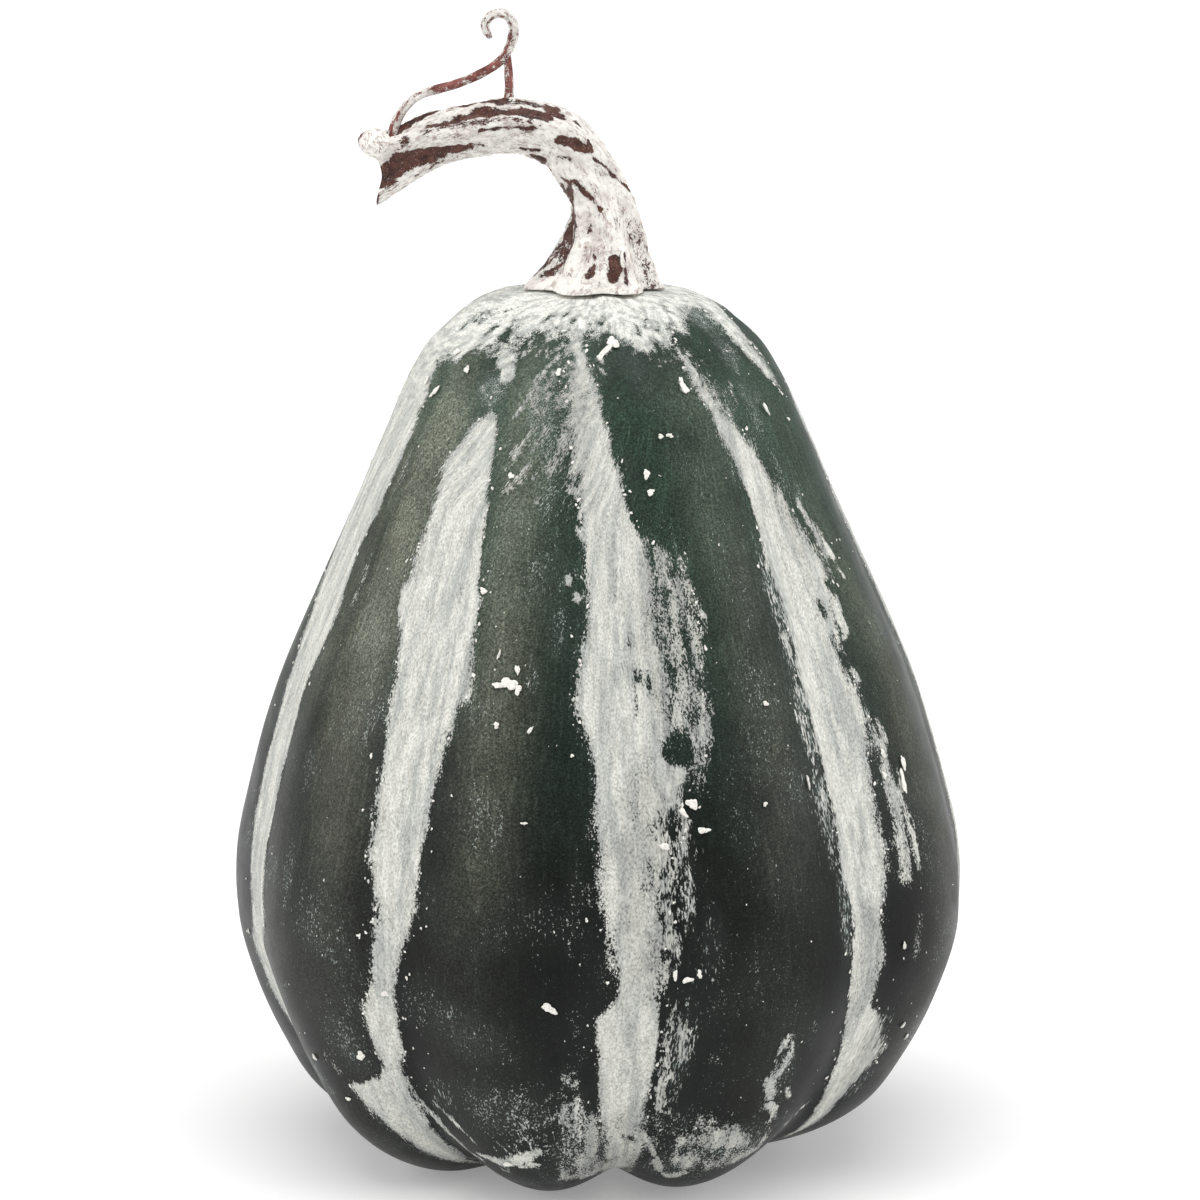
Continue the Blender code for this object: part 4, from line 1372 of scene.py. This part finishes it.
def stem_surface(rows, columns, extra):
    """The stem's surface: ridged rings carried along the post and arm.

    A ring's radius is reach * (1 - depth * (1 - field)) + extra, where field is 1 on a ridge. The rings stay
    level at the foot and turn with the line above it, and the last ones run forward on the ridges as the
    points of the cut end.
    """
    line, places = evenly_spaced(smooth_curve(STEM_LINE), rows)
    angles = np.linspace(0, 2 * np.pi, columns, endpoint=False)
    ahead = np.gradient(line[:, :2], axis=0)
    ahead[:, 0] *= np.clip((line[:, 1] - line[0, 1]) / UPRIGHT_HEIGHT, 0, 1)
    ahead /= np.linalg.norm(ahead, axis=1)[:, None]
    place, angle = np.meshgrid(places, angles, indexing="ij")
    field = ridge_field(angle, place)
    radius = line[:, 2:] * (1 - graph(RIDGE_HEIGHT, place) * (1 - field))
    radius = radius + extra(place, angle, radius)
    out = radius * np.cos(angle)
    front = radius * np.sin(angle)
    near_end = np.clip((place - END_START) / (1 - END_START), 0, 1)
    forward = near_end * (END_POINTS * field - END_SLANT * out + END_TURN * np.minimum(front, 0))
    along_x, along_z = ahead[:, :1], ahead[:, 1:]
    x = line[:, :1] + along_z * out + along_x * forward
    z = line[:, 1:2] - along_x * out + along_z * forward
    points = np.stack([x, -front, z], axis=-1)
    return points, place, angle, radius, ahead


def resting(ring, middle):
    """The ring's points set down on the crown, with the gap to it opening towards the front."""
    flat = ring - middle
    radius = np.hypot(flat[:, 0], flat[:, 1])
    frontness = np.clip(-flat[:, 1] / radius, 0, 1) * np.clip(radius / STEM_LINE[0][2], 0, 1)
    height = crown_height(radius) + TOUCH_GAP + FRONT_GAP * frontness
    return np.stack([ring[:, 0], ring[:, 1], height], axis=-1)


def stem_level(along, angle, reach):
    """Fullness of the whitewash on the stem: nearly full, but for bare strokes and a seeded unevenness."""
    turns = np.degrees(angle)
    uneven = 0.55 * ripple(turns, along * MM, 31, 40, 12, 260)
    level = 1.05 + 0.35 * uneven
    for bare, broken, *stations in STEM_BARE:
        away = stroke_distance(along, turns, reach, stations)
        inside = np.clip(0.5 - away / (broken * STEM_BREAK_SCALE) + 0.7 * uneven, 0, 1)
        level = np.minimum(level, 1.1 - (0.3 + 2.2 * bare) * inside)
    return level


def stem_skin(material):
    """The post and arm with their lumpy whitewash, the peg below and the hollow cut end."""
    line = smooth_curve(STEM_LINE)
    length = run_lengths(line)[-1] / MM

    def paint_and_lumps(place, angle, reach):
        turns = np.degrees(angle)
        along = place * length
        waves = STEM_WAVES * ripple(turns, along * MM, 11, 30, 7, 110)
        dents = STEM_DENTS * ripple(turns, along * MM, 12, 60, 18, 420)
        coat = np.clip(stem_level(along, angle, reach), 0, 1)
        return waves + dents * (0.35 + 0.65 * coat) + STEM_COAT * coat - STEM_INSET

    points, place, angle, reach, ahead = stem_surface(STEM_ROWS, STEM_COLUMNS, paint_and_lumps)
    middle = np.array([STEM_LINE[0][0], 0, 0])
    points[0] = resting(points[0], middle)
    under = [resting(middle + (points[0] - middle) * (share, share, 1), middle) for share in (0.56, 0.78)]
    round_peg = middle + PEG_RADIUS * np.stack([np.cos(angle[0]), -np.sin(angle[0]), 0 * angle[0]], axis=-1)
    peg_bottom = crown_height(SOCKET_RADIUS) - PEG_LENGTH
    start = [round_peg + (0, 0, peg_bottom), resting(round_peg, middle), *under]
    inward = np.array([ahead[-1, 0], 0, ahead[-1, 1]])
    centre = points[-1].mean(axis=0)
    face = []
    for share, depth in zip(END_SHARES, END_DEPTHS):
        face.append(centre + (points[-1] - centre) * share - inward * depth)
    grid = np.concatenate([np.array(start), points, np.array(face)])
    level = stem_level(place * length, angle, reach)
    ends = (len(start), len(face))
    level = np.pad(level, (ends, (0, 0)), mode="edge")
    level[-len(face) :] = np.minimum(level[-len(face) :], np.linspace(0.1, -1.2, len(face))[:, None])
    mesh = grid_mesh("stem_skin", grid[:, ::-1])
    per_point(mesh, "level", level[:, ::-1])
    along = np.pad(place, (ends, (0, 0)), mode="edge")
    around = np.pad(angle, (ends, (0, 0)), mode="edge")
    inwards = np.ones(len(grid))
    inwards[-len(face) :] = END_SHARES
    girth = STEM_GIRTH * inwards[:, None]
    strokes = np.stack([girth * np.cos(around), girth * np.sin(around), along * STEM_DRAWN], axis=-1)
    per_point(mesh, "strokes", strokes[:, ::-1])
    return as_piece(mesh, material, "whitewashed_resin", "stem")


def knob_skin(material):
    """The rounded knob of whitewash at the end of the front upper ridge, with bare resin at its tip.

    It is a ball stretched along the arm, and its reach wanders in small seeded waves.
    """
    polars = np.linspace(0.03, np.pi - 0.03, 48)
    turns = np.linspace(0, 2 * np.pi, 64, endpoint=False)
    polar, around = np.meshgrid(polars, turns, indexing="ij")
    reach = 1 + 0.05 * ripple(np.degrees(around), polar * 0.005, 51, 20, 5, 240)
    along = np.cos(polar) * KNOB_REACH[0]
    across = np.sin(polar) * np.cos(around) * KNOB_REACH[1]
    deep = np.sin(polar) * np.sin(around) * KNOB_REACH[2]
    lean = np.radians(KNOB_LEAN)
    leftwards = -along * np.cos(lean) + across * np.sin(lean)
    upwards = along * np.sin(lean) + across * np.cos(lean)
    offsets = np.stack([leftwards, deep, upwards], axis=-1)
    points = np.array(KNOB_MIDDLE) + offsets * reach[..., None]
    mesh = grid_mesh("knob_skin", points)
    bare = 24 + 9 * np.sin(around + 0.6) + 6 * np.sin(2 * around + 2.0)
    per_point(mesh, "level", np.minimum(1.8, (np.degrees(polar) - bare) / 10))
    per_point(mesh, "strokes", offsets * (1, 1, 0.6))
    return as_piece(mesh, material, "whitewashed_resin")


def rod_skin(name, line, rows, whiteness, material):
    """A round rod along a smooth curve in the plane Y = 0, with two shallow grooves and rounded ends.

    Its radius and its whitewash wander a little, and there is less paint in the grooves.
    """
    points, places = evenly_spaced(smooth_curve(line), rows)
    ahead = np.gradient(points[:, :2], axis=0)
    ahead /= np.linalg.norm(ahead, axis=1)[:, None]
    angles = np.linspace(0, 2 * np.pi, 28, endpoint=False)
    place, angle = np.meshgrid(places, angles, indexing="ij")
    length = run_lengths(points)[-1]
    radius = points[:, 2:] * (0.93 + 0.06 * ripple(np.degrees(angle), place * length, 17, 24, 4, 180))
    turns = np.degrees(angle)
    groove = np.exp(-(((turns - 120) / 16) ** 2)) + np.exp(-(((turns - 290) / 16) ** 2))
    radius = radius * (1 - 0.10 * groove)
    ends = np.minimum(place, 1 - place) * length / points[:, 2:]
    radius = radius * np.sqrt(np.clip(1 - (1 - np.clip(ends, 0, 1)) ** 2, 0.02, 1))
    out = radius * np.cos(angle)
    x = points[:, :1] + ahead[:, 1:] * out
    z = points[:, 1:2] - ahead[:, :1] * out
    grid = np.stack([x, -radius * np.sin(angle), z], axis=-1)
    mesh = grid_mesh(name, grid[:, ::-1])
    per_point(mesh, "ruddy", np.ones_like(place))
    uneven = 0.45 * ripple(turns, place * length, 41, 30, 4, 260)
    level = graph(whiteness, place * length / MM) + uneven - 0.9 * groove
    per_point(mesh, "level", level[:, ::-1])
    strokes = np.stack([0.002 * np.cos(angle), 0.002 * np.sin(angle), place * length * 0.4], axis=-1)
    per_point(mesh, "strokes", strokes[:, ::-1])
    return as_piece(mesh, material, "whitewashed_resin")


def stem_material(group):
    """Reddish-brown resin under thick, lumpy, broken whitewash."""
    material = bpy.data.materials.new("brown_and_whitewash")
    material.use_nodes = True
    make = Recipe(material.node_tree)
    shader = material.node_tree.nodes["Principled BSDF"]
    place = make.place()
    strokes = make.stored("strokes", vector=True)
    paint = make.add("ShaderNodeGroup", {}, node_tree=group)
    for key, value in {"Clump Size": 0.0026, "Grain Size": 0.0006, "Raggedness": 1.0, "Lines": 0.6}.items():
        paint.inputs[key].default_value = value
    for key, value in {"Level": make.stored("level"), "Strokes": strokes}.items():
        make.tree.links.new(value, paint.inputs[key])
    cover, body, streak = (paint.outputs[key] for key in ("Cover", "Body", "Streak"))
    mottle = make.ramp(make.noise(place, 300.0, 4.0, 0.6), 0.34, 0.66)
    brown = make.blend(mottle, tone(50, 27, 21), tone(90, 54, 45))
    brown = make.blend(make.stored("ruddy"), brown, make.blend(mottle, tone(86, 38, 31), tone(138, 82, 74)))
    grit = make.ramp(make.noise(place, 2200.0, 1.0, 0.5), 0.62, 0.74, 0.0, 0.6)
    brown = make.blend(grit, brown, tone(186, 160, 152))
    shade = make.ramp(make.noise(place, 130.0, 4.0, 0.6), 0.44, 0.68)
    cream = make.blend(shade, tone(246, 243, 236), tone(222, 215, 209))
    drawn = make.add("ShaderNodeMapping", {"Vector": strokes, "Scale": (1, 1, 2)}).outputs[0]
    mauve = make.ramp(make.noise(drawn, 600.0, 5.0, 0.75), 0.53, 0.63, 0.0, 0.7)
    cream = make.blend(mauve, cream, tone(172, 150, 144))
    fleck = make.ramp(paint.outputs["Grain"], 0.31, 0.37, 0.75, 0.0)
    fleck = make.maths("MULTIPLY", fleck, make.ramp(body, 0.6, 0.95, 1.0, 0.0))
    cream = make.blend(fleck, cream, tone(142, 112, 106))
    crossing = make.maths("ABSOLUTE", make.maths("SUBTRACT", streak, 0.5))
    crack = make.ramp(crossing, 0.005, 0.018, 0.9, 0.0)
    crack = make.maths("MULTIPLY", crack, make.ramp(make.noise(place, 170.0, 2.0, 0.5), 0.50, 0.60))
    cream = make.blend(crack, cream, tone(128, 92, 86))
    share = make.maths("MULTIPLY", cover, make.ramp(body, 0.0, 0.5, 0.86, 1.0))
    make.tree.links.new(make.blend(share, brown, cream), shader.inputs["Base Color"])
    make.tree.links.new(make.between(share, 0.46, 0.66), shader.inputs["Roughness"])
    relief = make.maths("ADD", make.maths("MULTIPLY", cover, 0.55), make.maths("MULTIPLY", body, 0.8))
    relief = make.maths("ADD", relief, make.maths("MULTIPLY", shade, -0.25))
    relief = make.maths("ADD", relief, make.maths("MULTIPLY", mauve, -0.35))
    bump = make.add("ShaderNodeBump", {"Height": relief, "Strength": 0.7, "Distance": 0.0008})
    make.tree.links.new(bump.outputs[0], shader.inputs["Normal"])
    shader.inputs["Specular IOR Level"].default_value = 0.3
    return material


def aim(thing, position, target):
    """Puts a light or the camera at a position, looking at the target with its top up."""
    thing.location = position
    direction = Vector(target) - Vector(position)
    thing.rotation_euler = direction.to_track_quat("-Z", "Y").to_euler()


def add_camera():
    data = bpy.data.cameras.new("camera")
    data.lens = LENS
    data.sensor_width = FILM_WIDTH
    data.clip_end = 100.0
    camera = bpy.data.objects.new("camera", data)
    bpy.context.scene.collection.objects.link(camera)
    bpy.context.scene.camera = camera
    back = VIEW_DISTANCE * np.cos(VIEW_TILT)
    aim(camera, (0, -back, VIEW_HEIGHT + VIEW_DISTANCE * np.sin(VIEW_TILT)), (0, 0, VIEW_HEIGHT))


def add_light(name, position, target, size, power):
    data = bpy.data.lights.new(name, "AREA")
    data.shape = "RECTANGLE"
    data.size, data.size_y = size
    data.energy = power
    light = bpy.data.objects.new(name, data)
    bpy.context.scene.collection.objects.link(light)
    aim(light, position, target)


def add_studio():
    """A pale floor, a bright even surround and three large soft lights."""
    scene = bpy.context.scene
    scene.view_settings.view_transform = "Standard"
    half = 20.0
    mesh = bpy.data.meshes.new("floor")
    corners = [(-half, -half, 0), (half, -half, 0), (half, half, 0), (-half, half, 0)]
    mesh.from_pydata(corners, [], [(0, 1, 2, 3)])
    floor = bpy.data.objects.new("floor", mesh)
    scene.collection.objects.link(floor)
    material = bpy.data.materials.new("pale_floor")
    material.use_nodes = True
    shader = material.node_tree.nodes["Principled BSDF"]
    shader.inputs["Base Color"].default_value = tone(240, 240, 240)
    shader.inputs["Roughness"].default_value = 0.9
    # The floor glows a little, and more so far behind, as a lit backdrop does.
    make = Recipe(material.node_tree)
    away = make.add("ShaderNodeVectorMath", {0: make.place()}, operation="LENGTH").outputs["Value"]
    make.tree.links.new(make.ramp(away, 0.5, 3.5, 0.26, 0.85), shader.inputs["Emission Strength"])
    shader.inputs["Emission Color"].default_value = (1, 1, 1, 1)
    mesh.materials.append(material)
    world = bpy.data.worlds.new("studio")
    world.use_nodes = True
    world.node_tree.nodes["Background"].inputs["Color"].default_value = (1, 1, 1, 1)
    world.node_tree.nodes["Background"].inputs["Strength"].default_value = 0.38
    scene.world = world
    middle = (0, 0, 0.18)
    add_light("left", (-2.0, -0.3, 1.0), middle, (1.4, 1.8), 17)
    add_light("right", (2.0, -0.3, 1.0), middle, (1.4, 1.8), 16)
    add_light("overhead", (0.0, -0.55, 2.2), middle, (2.4, 1.6), 38)


add_camera()
add_studio()
broken_paint = broken_paint_group()
squash_skin(paint_body_material(broken_paint))
as_piece(dab_meshes(), thick_paint_material(), "green_paint")
resin = stem_material(broken_paint)
stem_skin(resin)
knob_skin(resin)
rod_skin("tendril_skin", TENDRIL_LINE, 300, TENDRIL_WHITE, resin)
rod_skin("strut_skin", STRUT_LINE, 60, STRUT_WHITE, resin)
